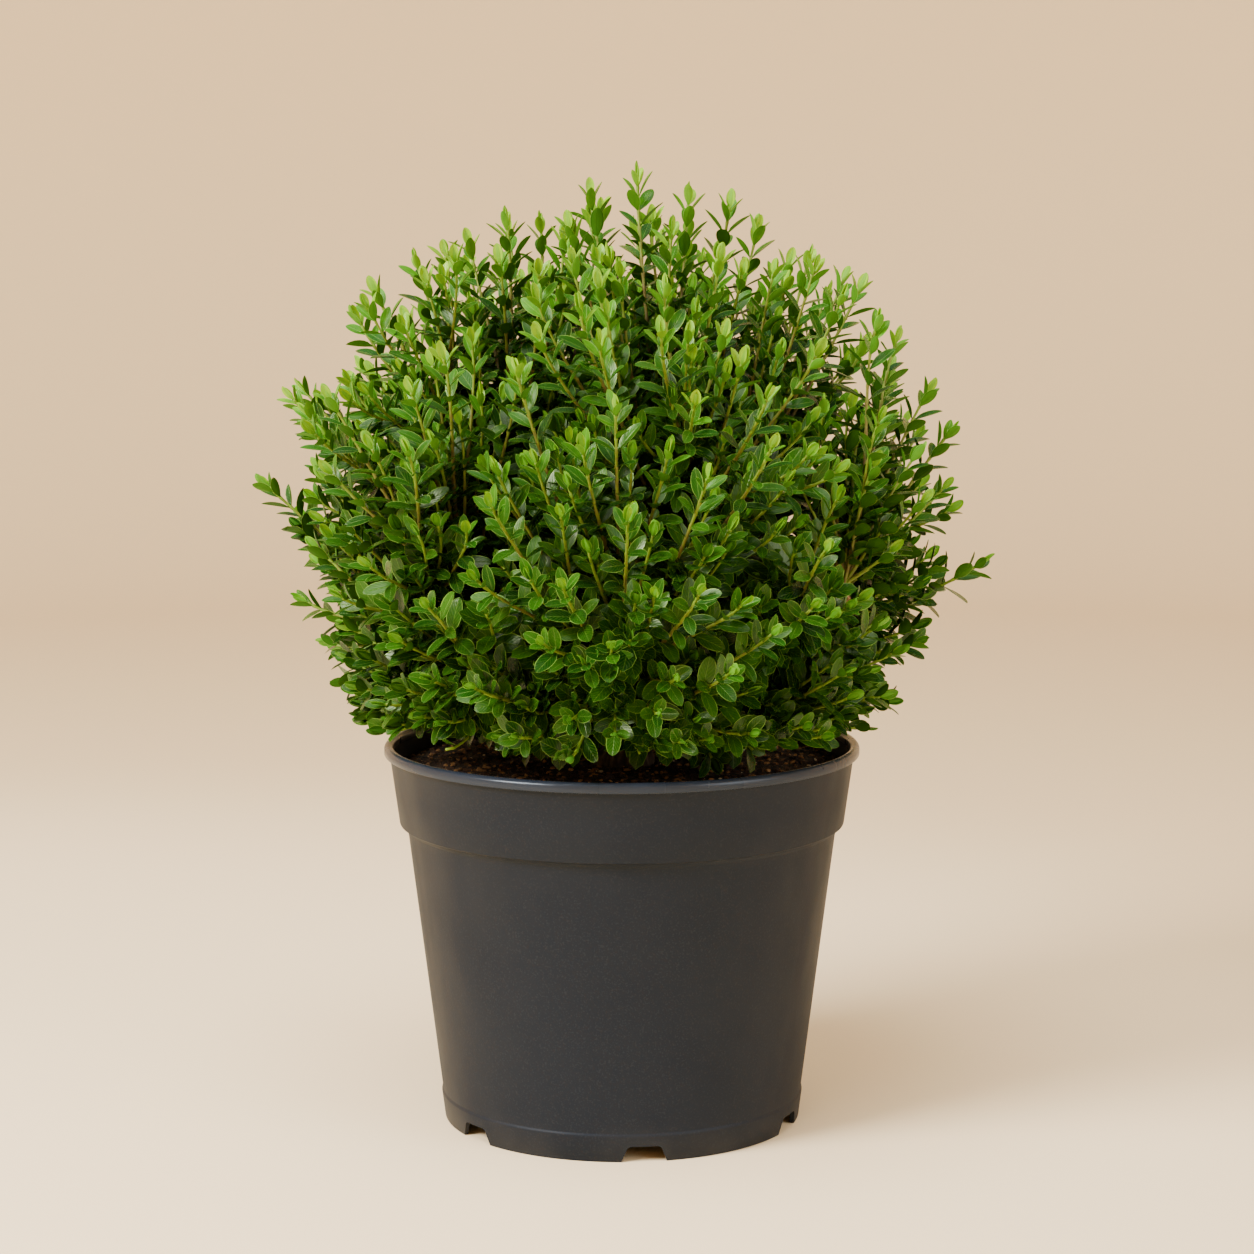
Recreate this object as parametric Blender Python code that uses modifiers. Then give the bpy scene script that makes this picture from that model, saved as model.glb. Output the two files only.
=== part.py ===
"""Potted boxwood: a round nursery pot full of soil, and a leafy boxwood that grows from one root crown.

Run with: blender --background --python part.py
Units are metres, +Z is up, the pot stands on z = 0 and its axis is the Z axis. -Y is the front.
The plant forks from the root crown into stems, and every stem carries leafy shoots. A shoot is one
closed solid: a four-angled twig whose side faces are drawn out into pairs of opposite leaves.
"""

import math
import random

import bmesh
import bpy
from mathutils import Matrix, Vector, geometry, noise
from mathutils.bvhtree import BVHTree

# Pot: a rolled lip over a tall stacking collar, a tapered body and a foot band with drainage notches.
RIM_RADIUS = 0.120
POT_HEIGHT = 0.192
BASE_RADIUS = 0.0905
WALL = 0.002
LIP_HEIGHT = 0.005
LIP_OVERHANG = 0.0028
COLLAR_HEIGHT = 0.035
COLLAR_DRAFT = 0.0048
SHOULDER_HEIGHT = 0.007
SHOULDER_STEP = 0.0045
FOOT_BAND_HEIGHT = 0.0135
FOOT_BAND_PROUD = 0.0006
FLOOR_RISE = 0.010
FLOOR_THICKNESS = 0.002
NOTCH_COUNT = 6
NOTCH_HEIGHT = 0.008
NOTCH_TOP_WIDTH = 0.016
NOTCH_FOOT_WIDTH = 0.024
NOTCH_TURN = math.radians(7.0)
DRAIN_RADIUS = 0.007
DRAIN_FROM_FOOT = 0.017
POT_STEPS = 60

# Soil and the root crown that sits in it.
SOIL_BELOW_RIM = 0.012
SOIL_MOUND = 0.0015
SOIL_ROUGHNESS = 0.0012
SOIL_STEPS = 36
CROWN_RADIUS = 0.018
CROWN_DEPTH = 0.034
CROWN_STEPS = 20
SOIL_RINGS = 7
GAP = 0.0003

# Stems: each one leaves the crown close to upright, spreads out and lifts again towards its tip.
STEM_FOOT_RADIUS = 0.0024
STEM_TOP_RADIUS = 0.0017
STEM_POINTS = 8
STEM_STRAIGHT_FOOT = 0.003
LAST_FORK_BELOW_END = 0.012
STEM_AIM_DISTANCE = 0.25
UPRIGHT_SHARE = 0.62
SPREAD_DISTANCE = 0.120
TIP_LIFT = 0.6

# Shoots: square twigs with leaf pairs that turn a quarter from pair to pair.
TWIG_FOOT = 0.0012
TWIG_TIP = 0.0008
STRAIGHT_FOOT = 0.001
STRAIGHT_LEADER_FOOT = 0.004
FORK_BEND_SHARE = 0.16
LABEL_EASE = 1.5
ROUTE_STEPS = 8
BEND_STEPS = 6
FIRST_RINGS = (0.0025, 0.006, 0.011)
RING_SPACING = 0.022
SHORTEST_SHOOT = 0.072
LEADER_LENGTH = 0.100
FIRST_FORK = 0.034
LEAF_PAIRS = 9
BARE_FOOT = 0.014
TIP_TO_FIRST_PAIR = 0.0035
PAIR_SPACING = 0.0085
PAIR_SPACING_GROWTH = 0.0005
LEAF_SEAT = 0.0014
YOUNG_LEAF_LENGTH = 0.0125
LEAF_LENGTH = 0.0195
LEAF_SLENDERNESS = 2.1
LEAF_THICKNESS = 0.0006
YOUNG_LEAF_ANGLE = math.radians(28.0)
LEAF_ANGLE = math.radians(62.0)
LEAF_CLEARANCE = 0.0004
LEAVES_ABOVE_RIM = 0.0025
LEAF_SIZES_TRIED = (1.0, 0.82, 0.66)

# Directions are (azimuth, polar) in degrees about the crown; azimuth -90 is the front.
STEM_DIRECTIONS = (
    (60, 24), (180, 24), (-60, 24),
    (30, 50), (90, 50), (150, 50), (-150, 50), (-90, 50), (-30, 50),
)

# Where the shoots end: (azimuth, polar, millimetres from the crown to the topmost leaf).
CROWN_TIPS = ((-66, 4, 302), (10, 11, 294), (180, 12, 286), (137, 12, 284), (59, 14, 284))
RIGHT_TIPS = (
    (25, 26, 270), (-9, 26, 276), (-12, 33, 262), (-3, 44, 242), (0, 60, 215), (-17, 72, 148),
    (22, 43, 240),
)
LEFT_TIPS = (
    (180, 22, 280), (-171, 27, 276), (167, 34, 248), (-177, 41, 256), (174, 52, 236), (-171, 61, 188),
    (-168, 72, 148),
)
FRONT_TIPS = (
    (-99, 26, 268), (-81, 29, 264), (-128, 33, 258), (-110, 34, 255), (-63, 37, 251), (-91, 38, 247),
    (-130, 43, 238), (-64, 42, 240), (-76, 45, 232), (-111, 48, 226), (-89, 49, 222), (-55, 53, 215),
    (-99, 56, 206), (-78, 57, 206), (-123, 59, 200), (-72, 66, 181), (-116, 68, 173), (-42, 75, 142),
)
BACK_TIPS = (
    (52, 28, 266), (126, 27, 266), (92, 35, 254), (64, 49, 228), (110, 47, 232), (146, 45, 240),
    (42, 62, 200), (92, 63, 190), (136, 62, 202), (68, 74, 152), (114, 75, 150),
)

# Colour (linear RGB), roughness.
POT_PLASTIC = ((0.045, 0.042, 0.038), 0.55)
SOIL = ((0.016, 0.010, 0.005), 0.95)
OLD_BARK = ((0.12, 0.075, 0.035), 0.85)
STEM_BARK = ((0.20, 0.12, 0.05), 0.70)
LEAF_GREEN = ((0.060, 0.150, 0.010), 0.42)

lip_lower = POT_HEIGHT - LIP_HEIGHT
lip_roll = (LIP_OVERHANG + WALL) / 2
lip_inner_height = POT_HEIGHT - lip_roll - WALL
collar_lower = lip_lower - COLLAR_HEIGHT
body_top = collar_lower - SHOULDER_HEIGHT
collar_top_radius = RIM_RADIUS - LIP_OVERHANG
collar_foot_radius = collar_top_radius - COLLAR_DRAFT
body_top_radius = collar_foot_radius - SHOULDER_STEP
floor_top = FLOOR_RISE + FLOOR_THICKNESS
soil_level = POT_HEIGHT - SOIL_BELOW_RIM
crown_centre = Vector((0.0, 0.0, soil_level))
leaf_past_tip = YOUNG_LEAF_LENGTH * math.cos(YOUNG_LEAF_ANGLE) - TIP_TO_FIRST_PAIR


def between(low, high, share):
    """The value a share of the way from low to high."""
    return low + (high - low) * share


def clear_scene():
    for item in list(bpy.data.objects):
        bpy.data.objects.remove(item, do_unlink=True)


def new_collection(name):
    collection = bpy.data.collections.new(name)
    bpy.context.scene.collection.children.link(collection)
    return collection


def principled(name, colour, roughness):
    material = bpy.data.materials.new(name)
    material.use_nodes = True
    shader = material.node_tree.nodes["Principled BSDF"]
    shader.inputs["Base Color"].default_value = (*colour, 1.0)
    shader.inputs["Roughness"].default_value = roughness
    shader.inputs["Metallic"].default_value = 0.0
    return material


def add_object(name, data, collection, material=None):
    item = bpy.data.objects.new(name, data)
    collection.objects.link(item)
    if material:
        item.data.materials.append(material)
    return item


def object_from_bmesh(name, bm, collection, material=None, smooth=False):
    bmesh.ops.recalc_face_normals(bm, faces=bm.faces)
    mesh = bpy.data.meshes.new(name)
    bm.to_mesh(mesh)
    bm.free()
    mesh.shade_smooth() if smooth else mesh.shade_flat()
    return add_object(name, mesh, collection, material)


def bake_modifiers(item):
    """Replaces an object's mesh by what its modifiers make of it."""
    depsgraph = bpy.context.evaluated_depsgraph_get()
    mesh = bpy.data.meshes.new_from_object(item.evaluated_get(depsgraph))
    item.modifiers.clear()
    item.data = mesh


def turned(name, profile, steps, collection, material):
    """A solid of revolution about Z from (radius, height) points that run from axis to axis."""
    mesh = bpy.data.meshes.new(name)
    points = [(radius, 0.0, height) for radius, height in profile]
    mesh.from_pydata(points, [(i, i + 1) for i in range(len(points) - 1)], [])
    item = add_object(name, mesh, collection, material)
    screw = item.modifiers.new("Turn", "SCREW")
    screw.axis = "Z"
    screw.angle = math.tau
    screw.steps = steps
    screw.render_steps = steps
    screw.use_merge_vertices = True
    screw.merge_threshold = 0.0001
    screw.use_smooth_shade = True
    bake_modifiers(item)
    return item


def cut(item, cutter):
    """Takes the cutter's volume out of an object."""
    boolean = item.modifiers.new("Cut", "BOOLEAN")
    boolean.operation = "DIFFERENCE"
    boolean.solver = "EXACT"
    boolean.object = cutter
    bake_modifiers(item)


def outer_body_radius(height):
    """Outside radius of the tapered body, below the shoulder and above the foot band."""
    lower = BASE_RADIUS + (FOOT_BAND_HEIGHT / body_top) * (body_top_radius - BASE_RADIUS)
    share = (height - FOOT_BAND_HEIGHT) / (body_top - FOOT_BAND_HEIGHT)
    return between(lower - FOOT_BAND_PROUD, body_top_radius, share)


def outer_profile():
    """The pot's outside from under the lip down to the foot."""
    band_top = outer_body_radius(FOOT_BAND_HEIGHT) + FOOT_BAND_PROUD
    return [
        (collar_top_radius, lip_lower),
        (collar_foot_radius, collar_lower),
        (body_top_radius, body_top),
        (outer_body_radius(FOOT_BAND_HEIGHT + FOOT_BAND_PROUD), FOOT_BAND_HEIGHT + FOOT_BAND_PROUD),
        (band_top, FOOT_BAND_HEIGHT),
        (BASE_RADIUS, 0.0),
    ]


def inner_profile():
    """The pot's inside from the floor up to the lip: the outside moved in by the wall."""
    return [
        (outer_body_radius(floor_top) - WALL, floor_top),
        (body_top_radius - WALL, body_top),
        (collar_foot_radius - WALL, collar_lower),
    ]


def inner_collar_radius(height):
    """Inside radius between the collar's foot and the lip."""
    share = (height - collar_lower) / (lip_inner_height - collar_lower)
    return between(collar_foot_radius, collar_top_radius, share) - WALL


def lip_profile():
    """The rolled lip, from its inner edge over the top to its lower outer edge."""
    centre = RIM_RADIUS - lip_roll
    crest = POT_HEIGHT - lip_roll
    arc = []
    for turn in (150, 115, 90, 55, 20):
        angle = math.radians(turn)
        arc.append((centre + lip_roll * math.cos(angle), crest + lip_roll * math.sin(angle)))
    return [(collar_top_radius - WALL, lip_inner_height)] + arc + [(RIM_RADIUS, lip_lower)]


def notch_cutters(collection):
    """Wedges that cut the drainage notches through the foot band."""
    bm = bmesh.new()
    reach = 6 * WALL
    for index in range(NOTCH_COUNT):
        made = bmesh.ops.create_cube(bm, size=1.0)["verts"]
        for vert in made:
            at_top = vert.co.z > 0
            width = NOTCH_TOP_WIDTH if at_top else NOTCH_FOOT_WIDTH
            vert.co = Vector((
                BASE_RADIUS + vert.co.x * 2 * reach,
                vert.co.y * width,
                NOTCH_HEIGHT if at_top else -NOTCH_HEIGHT * 0.25,
            ))
        turn = Matrix.Rotation(math.tau * index / NOTCH_COUNT - math.pi / 2 + NOTCH_TURN, 4, "Z")
        bmesh.ops.transform(bm, matrix=turn, verts=made)
    return object_from_bmesh("notch_cutters", bm, collection)


def drain_cutters(collection):
    """Round cutters for the floor's drain holes, one between each two notches."""
    bm = bmesh.new()
    for index in range(NOTCH_COUNT):
        angle = math.tau * (index + 0.5) / NOTCH_COUNT - math.pi / 2 + NOTCH_TURN
        distance = BASE_RADIUS - DRAIN_FROM_FOOT
        place = Matrix.Translation((
            distance * math.cos(angle),
            distance * math.sin(angle),
            FLOOR_RISE + FLOOR_THICKNESS / 2,
        ))
        bmesh.ops.create_cone(
            bm, cap_ends=True, segments=12, radius1=DRAIN_RADIUS, radius2=DRAIN_RADIUS,
            depth=FLOOR_THICKNESS * 3, matrix=place,
        )
    return object_from_bmesh("drain_cutters", bm, collection)


def make_pot(collection, cutters):
    profile = [(0.0, floor_top)] + inner_profile() + lip_profile() + outer_profile()
    profile += [(BASE_RADIUS - WALL, 0.0), (outer_body_radius(FLOOR_RISE) - WALL, FLOOR_RISE)]
    profile += [(0.0, FLOOR_RISE)]
    material = principled("pot_plastic", *POT_PLASTIC)
    pot = turned("nursery_pot", profile, POT_STEPS, collection, material)
    cut(pot, notch_cutters(cutters))
    cut(pot, drain_cutters(cutters))
    return pot


def crown_profile(offset):
    """The root crown's outline from its top to its lowest point, moved outwards by an offset."""
    arc = []
    for step in range(7):
        angle = math.radians(90 - 15 * step)
        arc.append(((CROWN_RADIUS + offset) * math.cos(angle), (CROWN_RADIUS + offset) * math.sin(angle)))
    arc[0] = (0.0, CROWN_RADIUS + offset)
    below = [
        (CROWN_RADIUS * 0.80 + offset, -CROWN_DEPTH * 0.35),
        (CROWN_RADIUS * 0.45 + offset, -CROWN_DEPTH * 0.80),
        (0.0, -CROWN_DEPTH - offset),
    ]
    return [(radius, soil_level + height) for radius, height in arc + below]


def make_crown(collection):
    return turned(
        "root_crown", crown_profile(0.0), CROWN_STEPS, collection, principled("old_bark", *OLD_BARK)
    )


def make_soil(collection):
    """Soil that fills the pot to just below the rim, with a socket that holds the root crown."""
    socket = [point for point in crown_profile(GAP) if point[1] < soil_level + GAP]
    rim = inner_collar_radius(soil_level) - GAP
    inside = [(radius - GAP, height) for radius, height in reversed(inner_profile()[1:])]
    top = []
    for ring in range(SOIL_RINGS):
        share = (ring + 1) / SOIL_RINGS
        mound = SOIL_MOUND * math.sin(math.pi * share)
        top.append((between(socket[0][0], rim, share), soil_level + mound))
    profile = list(reversed(socket)) + top + inside
    lowest = floor_top + GAP
    profile += [(outer_body_radius(lowest) - WALL - GAP, lowest), (0.0, lowest)]
    soil = turned("potting_soil", profile, SOIL_STEPS, collection, principled("soil", *SOIL))
    for vert in soil.data.vertices:
        radius = math.hypot(vert.co.x, vert.co.y)
        on_top = vert.co.z > soil_level - GAP
        if on_top and socket[0][0] + GAP < radius < rim - GAP:
            vert.co.z += SOIL_ROUGHNESS * noise.noise(vert.co * 70)
    return soil


def opening(distance):
    """How much of its full polar angle a stem has reached at a distance from the crown."""
    share = min(1.0, distance / SPREAD_DISTANCE)
    spread = between(UPRIGHT_SHARE, 1.0, share * share * (3 - 2 * share))
    return spread - TIP_LIFT * max(0.0, distance - SPREAD_DISTANCE)


def place(distance, label):
    """The point on the growth line of a label (a 2D polar-angle vector) at a distance."""
    polar = label.length * opening(distance)
    azimuth = math.atan2(label.y, label.x)
    direction = Vector((
        math.sin(polar) * math.cos(azimuth), math.sin(polar) * math.sin(azimuth), math.cos(polar)
    ))
    return crown_centre + direction * distance


def label_of(azimuth_degrees, polar_degrees, distance):
    """The label whose growth line passes through a direction at a distance."""
    azimuth = math.radians(azimuth_degrees)
    angle = math.radians(polar_degrees) / opening(distance)
    return Vector((angle * math.cos(azimuth), angle * math.sin(azimuth)))


class Tip:
    """Where a shoot ends, and the stem that it grows from."""

    def __init__(self, azimuth, polar, millimetres):
        self.distance = millimetres / 1000 - leaf_past_tip
        self.label = label_of(azimuth, polar, self.distance)
        self.fork = None


class Stem:
    """A woody stem that follows one growth line up to its leading shoot."""

    def __init__(self, label, leader):
        self.leader = leader
        self.label = label
        self.end = leader.distance - LEADER_LENGTH
        self.side_tips = []

    def point(self, distance):
        return place(distance, self.label)

    def radius(self, distance):
        share = (distance - CROWN_RADIUS) / (self.end - CROWN_RADIUS)
        return between(STEM_FOOT_RADIUS, STEM_TOP_RADIUS, share)

    def assign_forks(self):
        """The widest shoot forks lowest, so that no two shoots of a stem cross."""
        self.side_tips.sort(key=lambda tip: -(tip.label - self.label).length)
        count = len(self.side_tips)
        for index, tip in enumerate(self.side_tips):
            evenly = between(FIRST_FORK, self.end - LAST_FORK_BELOW_END, (index + 0.5) / count)
            tip.fork = min(evenly, tip.distance - SHORTEST_SHOOT)

    def route(self):
        start = CROWN_RADIUS + GAP
        points = [self.point(start)]
        first = (points[0] - crown_centre).normalized()
        points.append(points[0] + first * STEM_STRAIGHT_FOOT)
        for step in range(1, STEM_POINTS):
            points.append(self.point(between(start, self.end, step / (STEM_POINTS - 1))))
        return points

    def seat(self, distance):
        """Centre, direction and radius of the straight stretch that a shoot forks from."""
        route = self.route()
        marks = [(point - crown_centre).length for point in route]
        index = 0
        while index < len(route) - 2 and marks[index + 1] < distance:
            index += 1
        share = (distance - marks[index]) / (marks[index + 1] - marks[index])
        share = min(max(share, 0.2), 0.8)
        centre = route[index].lerp(route[index + 1], share)
        along = (route[index + 1] - route[index]).normalized()
        return centre, along, between(self.radius(marks[index]), self.radius(marks[index + 1]), share)


def plan_stems():
    """Gives each stem direction its nearest tip as leader, and every other tip its nearest stem."""
    tips = [Tip(*values) for values in CROWN_TIPS + RIGHT_TIPS + LEFT_TIPS + FRONT_TIPS + BACK_TIPS]
    free = list(tips)
    stems = []
    for azimuth, polar in STEM_DIRECTIONS:
        label = label_of(azimuth, polar, STEM_AIM_DISTANCE)
        leader = min(free, key=lambda tip: (tip.label - label).length)
        free.remove(leader)
        stems.append(Stem(label, leader))
    for tip in free:
        nearest = min(stems, key=lambda stem: (tip.label - stem.label).length)
        nearest.side_tips.append(tip)
    for stem in stems:
        stem.assign_forks()
    return stems


def make_stem(name, stem, collection, material):
    """A tapered round tube along the stem's route."""
    route = stem.route()
    curve = bpy.data.curves.new(name, "CURVE")
    curve.dimensions = "3D"
    curve.bevel_depth = STEM_FOOT_RADIUS
    curve.bevel_resolution = 2
    curve.use_fill_caps = True
    spline = curve.splines.new("POLY")
    spline.points.add(len(route) - 1)
    for index, point in enumerate(route):
        distance = (point - crown_centre).length
        spline.points[index].co = (*point, 1.0)
        spline.points[index].radius = stem.radius(distance) / STEM_FOOT_RADIUS
    item = add_object(name, curve, collection)
    depsgraph = bpy.context.evaluated_depsgraph_get()
    mesh = bpy.data.meshes.new_from_object(item.evaluated_get(depsgraph))
    bpy.data.objects.remove(item, do_unlink=True)
    mesh.materials.clear()
    bm = bmesh.new()
    bm.from_mesh(mesh)
    bmesh.ops.remove_doubles(bm, verts=bm.verts, dist=GAP / 10)
    return object_from_bmesh(name, bm, collection, material, smooth=True)


def leader_route(stem):
    """A shoot that carries on from the stem's end."""
    tip = stem.leader
    start = stem.route()[-1]
    along = (start - stem.route()[-2]).normalized()
    first = start + along * GAP
    points = [first, first + along * STRAIGHT_LEADER_FOOT]
    for step in range(1, ROUTE_STEPS + 1):
        share = step / ROUTE_STEPS
        label = stem.label.lerp(tip.label, share * share * (3 - 2 * share))
        points.append(place(between(stem.end + STRAIGHT_LEADER_FOOT, tip.distance, share), label))
    return points


def side_route(stem, tip):
    """A shoot that leaves the stem's flank and bends up on to its own growth line."""
    across = tip.label - stem.label

    def on_line(share):
        label = stem.label + across * (1 - (1 - share) ** LABEL_EASE)
        point = place(between(tip.fork, tip.distance, share), label)
        return point + outwards * (radius + TWIG_FOOT) * (1 - share) ** 2

    centre, along, radius = stem.seat(tip.fork)
    towards = place(tip.fork, stem.label + across * 0.1) - stem.point(tip.fork)
    outwards = (towards - along * towards.dot(along)).normalized()
    first = centre + outwards * (radius + GAP)
    joins, after = on_line(FORK_BEND_SHARE), on_line(FORK_BEND_SHARE * 1.1)
    bend = (joins - first).length * 0.3
    handle = joins - (after - joins).normalized() * bend
    straight = first + outwards * STRAIGHT_FOOT
    knot = straight + outwards * bend
    points = [first] + geometry.interpolate_bezier(straight, knot, handle, joins, BEND_STEPS)
    for step in range(1, ROUTE_STEPS + 1):
        points.append(on_line(between(FORK_BEND_SHARE, 1.0, step / ROUTE_STEPS)))
    return points


class Twig:
    """A square twig along a route, with its cross-section frame at any distance from its foot."""

    def __init__(self, route):
        self.points = route
        self.marks = [0.0]
        for a, b in zip(route, route[1:]):
            self.marks.append(self.marks[-1] + (b - a).length)
        self.length = self.marks[-1]
        self.frames = []
        tangent = (route[1] - route[0]).normalized()
        side = tangent.orthogonal().normalized()
        for index in range(len(route)):
            low, high = max(index - 1, 0), min(index + 1, len(route) - 1)
            tangent = (route[high] - route[low]).normalized()
            side = (side - tangent * side.dot(tangent)).normalized()
            self.frames.append((tangent, side))
        first = (route[1] - route[0]).normalized()
        self.frames[0] = (first, (self.frames[0][1] - first * self.frames[0][1].dot(first)).normalized())

    def frame(self, mark):
        """Centre, direction and the two side axes at a distance along the twig."""
        index = 0
        while index < len(self.marks) - 2 and self.marks[index + 1] < mark:
            index += 1
        share = (mark - self.marks[index]) / (self.marks[index + 1] - self.marks[index])
        centre = self.points[index].lerp(self.points[index + 1], share)
        tangent = self.frames[index][0].lerp(self.frames[index + 1][0], share).normalized()
        side = self.frames[index][1].lerp(self.frames[index + 1][1], share)
        side = (side - tangent * side.dot(tangent)).normalized()
        return centre, tangent, side, tangent.cross(side)

    def half_width(self, mark):
        return between(TWIG_FOOT, TWIG_TIP, mark / self.length)

    def pair_marks(self):
        """Distances of the leaf pairs along the twig, from the lowest to the topmost."""
        marks = []
        back = TIP_TO_FIRST_PAIR
        for pair in range(LEAF_PAIRS):
            if self.length - back > BARE_FOOT:
                marks.append(self.length - back)
            back += PAIR_SPACING + PAIR_SPACING_GROWTH * pair
        return marks[::-1]

    def ring(self, mark, shrink=1.0):
        """The four corners of the square section at a distance along the twig."""
        centre, _, side, other = self.frame(mark)
        half = self.half_width(mark) * shrink
        corners = ((1, 1), (-1, 1), (-1, -1), (1, -1))
        return [centre + side * (a * half) + other * (b * half) for a, b in corners]


class Blade:
    """One leaf as a flat kite: where it is seated, its directions and its size."""

    def __init__(self, twig, mark, quarter, rank, scale):
        centre, along, side, other = twig.frame(mark)
        away = (side, other, -side, -other)[quarter]
        share = rank / (LEAF_PAIRS - 1)
        angle = between(YOUNG_LEAF_ANGLE, LEAF_ANGLE, share)
        self.length = between(YOUNG_LEAF_LENGTH, LEAF_LENGTH, min(1.0, share * 1.6)) * scale
        self.half_width = self.length / LEAF_SLENDERNESS / 2
        self.out = (along * math.cos(angle) + away * math.sin(angle)).normalized()
        self.across = along.cross(away).normalized()
        self.face = self.across.cross(self.out).normalized()
        self.seat = centre + away * twig.half_width(mark)
        self.middle = self.seat + self.out * self.length * 0.52
        self.end = self.seat + self.out * self.length - self.face * self.length * 0.06

    def clearance_tree(self):
        """A slightly larger kite, for testing that the leaf has room."""
        spare = LEAF_CLEARANCE + LEAF_THICKNESS / 2
        foot = self.seat + self.out * TWIG_FOOT * 1.5
        corners = [
            foot,
            self.middle + self.across * (self.half_width + spare),
            self.middle + self.face * spare,
            self.middle - self.across * (self.half_width + spare),
            self.middle - self.face * spare,
            self.end + self.out * spare,
        ]
        faces = []
        for index in range(4):
            a, b = 1 + index, 1 + (index + 1) % 4
            faces += [(0, a, b), (5, b, a)]
        return BVHTree.FromPolygons(corners, faces)

    def lowest(self):
        return min(self.middle.z, self.end.z) - self.half_width


def twig_tree(points, radius):
    """A square tube around a route as a search tree, for testing leaves against."""
    twig = Twig(points)
    verts = []
    faces = []
    for index, mark in enumerate(twig.marks):
        centre, _, side, other = twig.frame(mark)
        for a, b in ((1, 1), (-1, 1), (-1, -1), (1, -1)):
            verts.append(centre + (side * a + other * b) * radius)
        if index:
            low = 4 * (index - 1)
            faces += [(low + k, low + (k + 1) % 4, low + 4 + (k + 1) % 4, low + 4 + k) for k in range(4)]
    return BVHTree.FromPolygons(verts, faces)


class Room:
    """Keeps what already stands in the plant, and says whether one more leaf has room."""

    def __init__(self):
        self.wood = []
        self.blades = []

    def has_room(self, blade, own_wood):
        if blade.lowest() < POT_HEIGHT + LEAVES_ABOVE_RIM:
            return False
        tree = blade.clearance_tree()
        for other, other_tree in self.blades:
            near = (other.middle - blade.middle).length < (other.length + blade.length) * 0.75
            if near and tree.overlap(other_tree):
                return False
        return not any(tree.overlap(wood) for key, wood in self.wood if key is not own_wood)

    def grow(self, twig, first_quarter):
        """Fits both leaves of every pair along a twig, smaller where there is less room."""
        leaves = {}
        marks = twig.pair_marks()
        for index, mark in enumerate(marks):
            rank = len(marks) - 1 - index
            for quarter in ((first_quarter + index) % 2, (first_quarter + index) % 2 + 2):
                for scale in LEAF_SIZES_TRIED:
                    blade = Blade(twig, mark, quarter, rank, scale)
                    if self.has_room(blade, twig):
                        self.blades.append((blade, blade.clearance_tree()))
                        leaves[(mark, quarter)] = blade
                        break
        return leaves


def next_ring(bm, cap, corners):
    """Draws the end face of a twig out to the next four corners."""
    new_cap = bmesh.ops.extrude_discrete_faces(bm, faces=[cap])["faces"][0]
    for vert, corner in zip(new_cap.verts, corners):
        vert.co = corner
    return new_cap


def draw_leaf(bm, face, blade):
    """Draws a side face of the twig out into a leaf: one ring at its widest, then the tip."""
    face = bmesh.ops.extrude_discrete_faces(bm, faces=[face])["faces"][0]
    centre = face.calc_center_median()
    for vert in face.verts:
        offset = vert.co - centre
        sideways = math.copysign(blade.half_width, offset.dot(blade.across))
        upwards = math.copysign(LEAF_THICKNESS / 2, offset.dot(blade.face))
        vert.co = blade.middle + blade.across * sideways + blade.face * upwards
    face = bmesh.ops.extrude_discrete_faces(bm, faces=[face])["faces"][0]
    bmesh.ops.pointmerge(bm, verts=list(face.verts), merge_co=blade.end)


def make_shoot(name, twig, leaves, collection, material):
    """Builds a twig ring by ring, and draws out its leaves where they are seated."""
    bm = bmesh.new()
    foot = bm.faces.new([bm.verts.new(corner) for corner in twig.ring(0.0)])
    cap = foot.copy()
    seats = twig.pair_marks()
    bare = seats[0] - LEAF_SEAT
    marks = [(mark, None) for mark in FIRST_RINGS]
    steps = max(1, round((bare - BARE_FOOT) / RING_SPACING))
    marks += [(between(FIRST_RINGS[-1], bare, step / steps), None) for step in range(1, steps)]
    for seat in seats:
        marks += [(seat - LEAF_SEAT / 2, None), (seat + LEAF_SEAT / 2, seat)]
    marks = [entry for entry in marks if entry[0] < twig.length]
    seat_faces = []
    for mark, seat in marks:
        cap = next_ring(bm, cap, twig.ring(mark))
        if seat is None:
            continue
        centre, _, side, other = twig.frame(seat)
        walls = {wall for edge in cap.edges for wall in edge.link_faces if wall is not cap}
        for quarter, away in enumerate((side, other, -side, -other)):
            blade = leaves.get((seat, quarter))
            wall = max(walls, key=lambda item: (item.calc_center_median() - centre).dot(away))
            if blade:
                seat_faces.append((wall, blade))
    next_ring(bm, cap, twig.ring(twig.length, shrink=0.6))
    for wall, blade in seat_faces:
        draw_leaf(bm, wall, blade)
    bmesh.ops.remove_doubles(bm, verts=bm.verts, dist=0.00001)
    return object_from_bmesh(name, bm, collection, material)


def make_plant(collection):
    """The stems first, then the leafy shoots, numbered stem by stem."""
    stems = plan_stems()
    bark = principled("stem_bark", *STEM_BARK)
    green = principled("leaf_green", *LEAF_GREEN)
    room = Room()
    twigs = []
    for number, stem in enumerate(stems, 1):
        make_stem(f"stem_{number:02d}", stem, collection, bark)
        room.wood.append((stem, twig_tree(stem.route(), STEM_FOOT_RADIUS + LEAF_CLEARANCE)))
        twigs.append(Twig(leader_route(stem)))
        twigs += [Twig(side_route(stem, tip)) for tip in stem.side_tips]
    for twig in twigs:
        room.wood.append((twig, twig_tree(twig.points, TWIG_FOOT + LEAF_CLEARANCE)))
    chance = random.Random(7)
    for number, twig in enumerate(twigs, 1):
        leaves = room.grow(twig, chance.randrange(2))
        make_shoot(f"shoot_{number:02d}", twig, leaves, collection, green)


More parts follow.
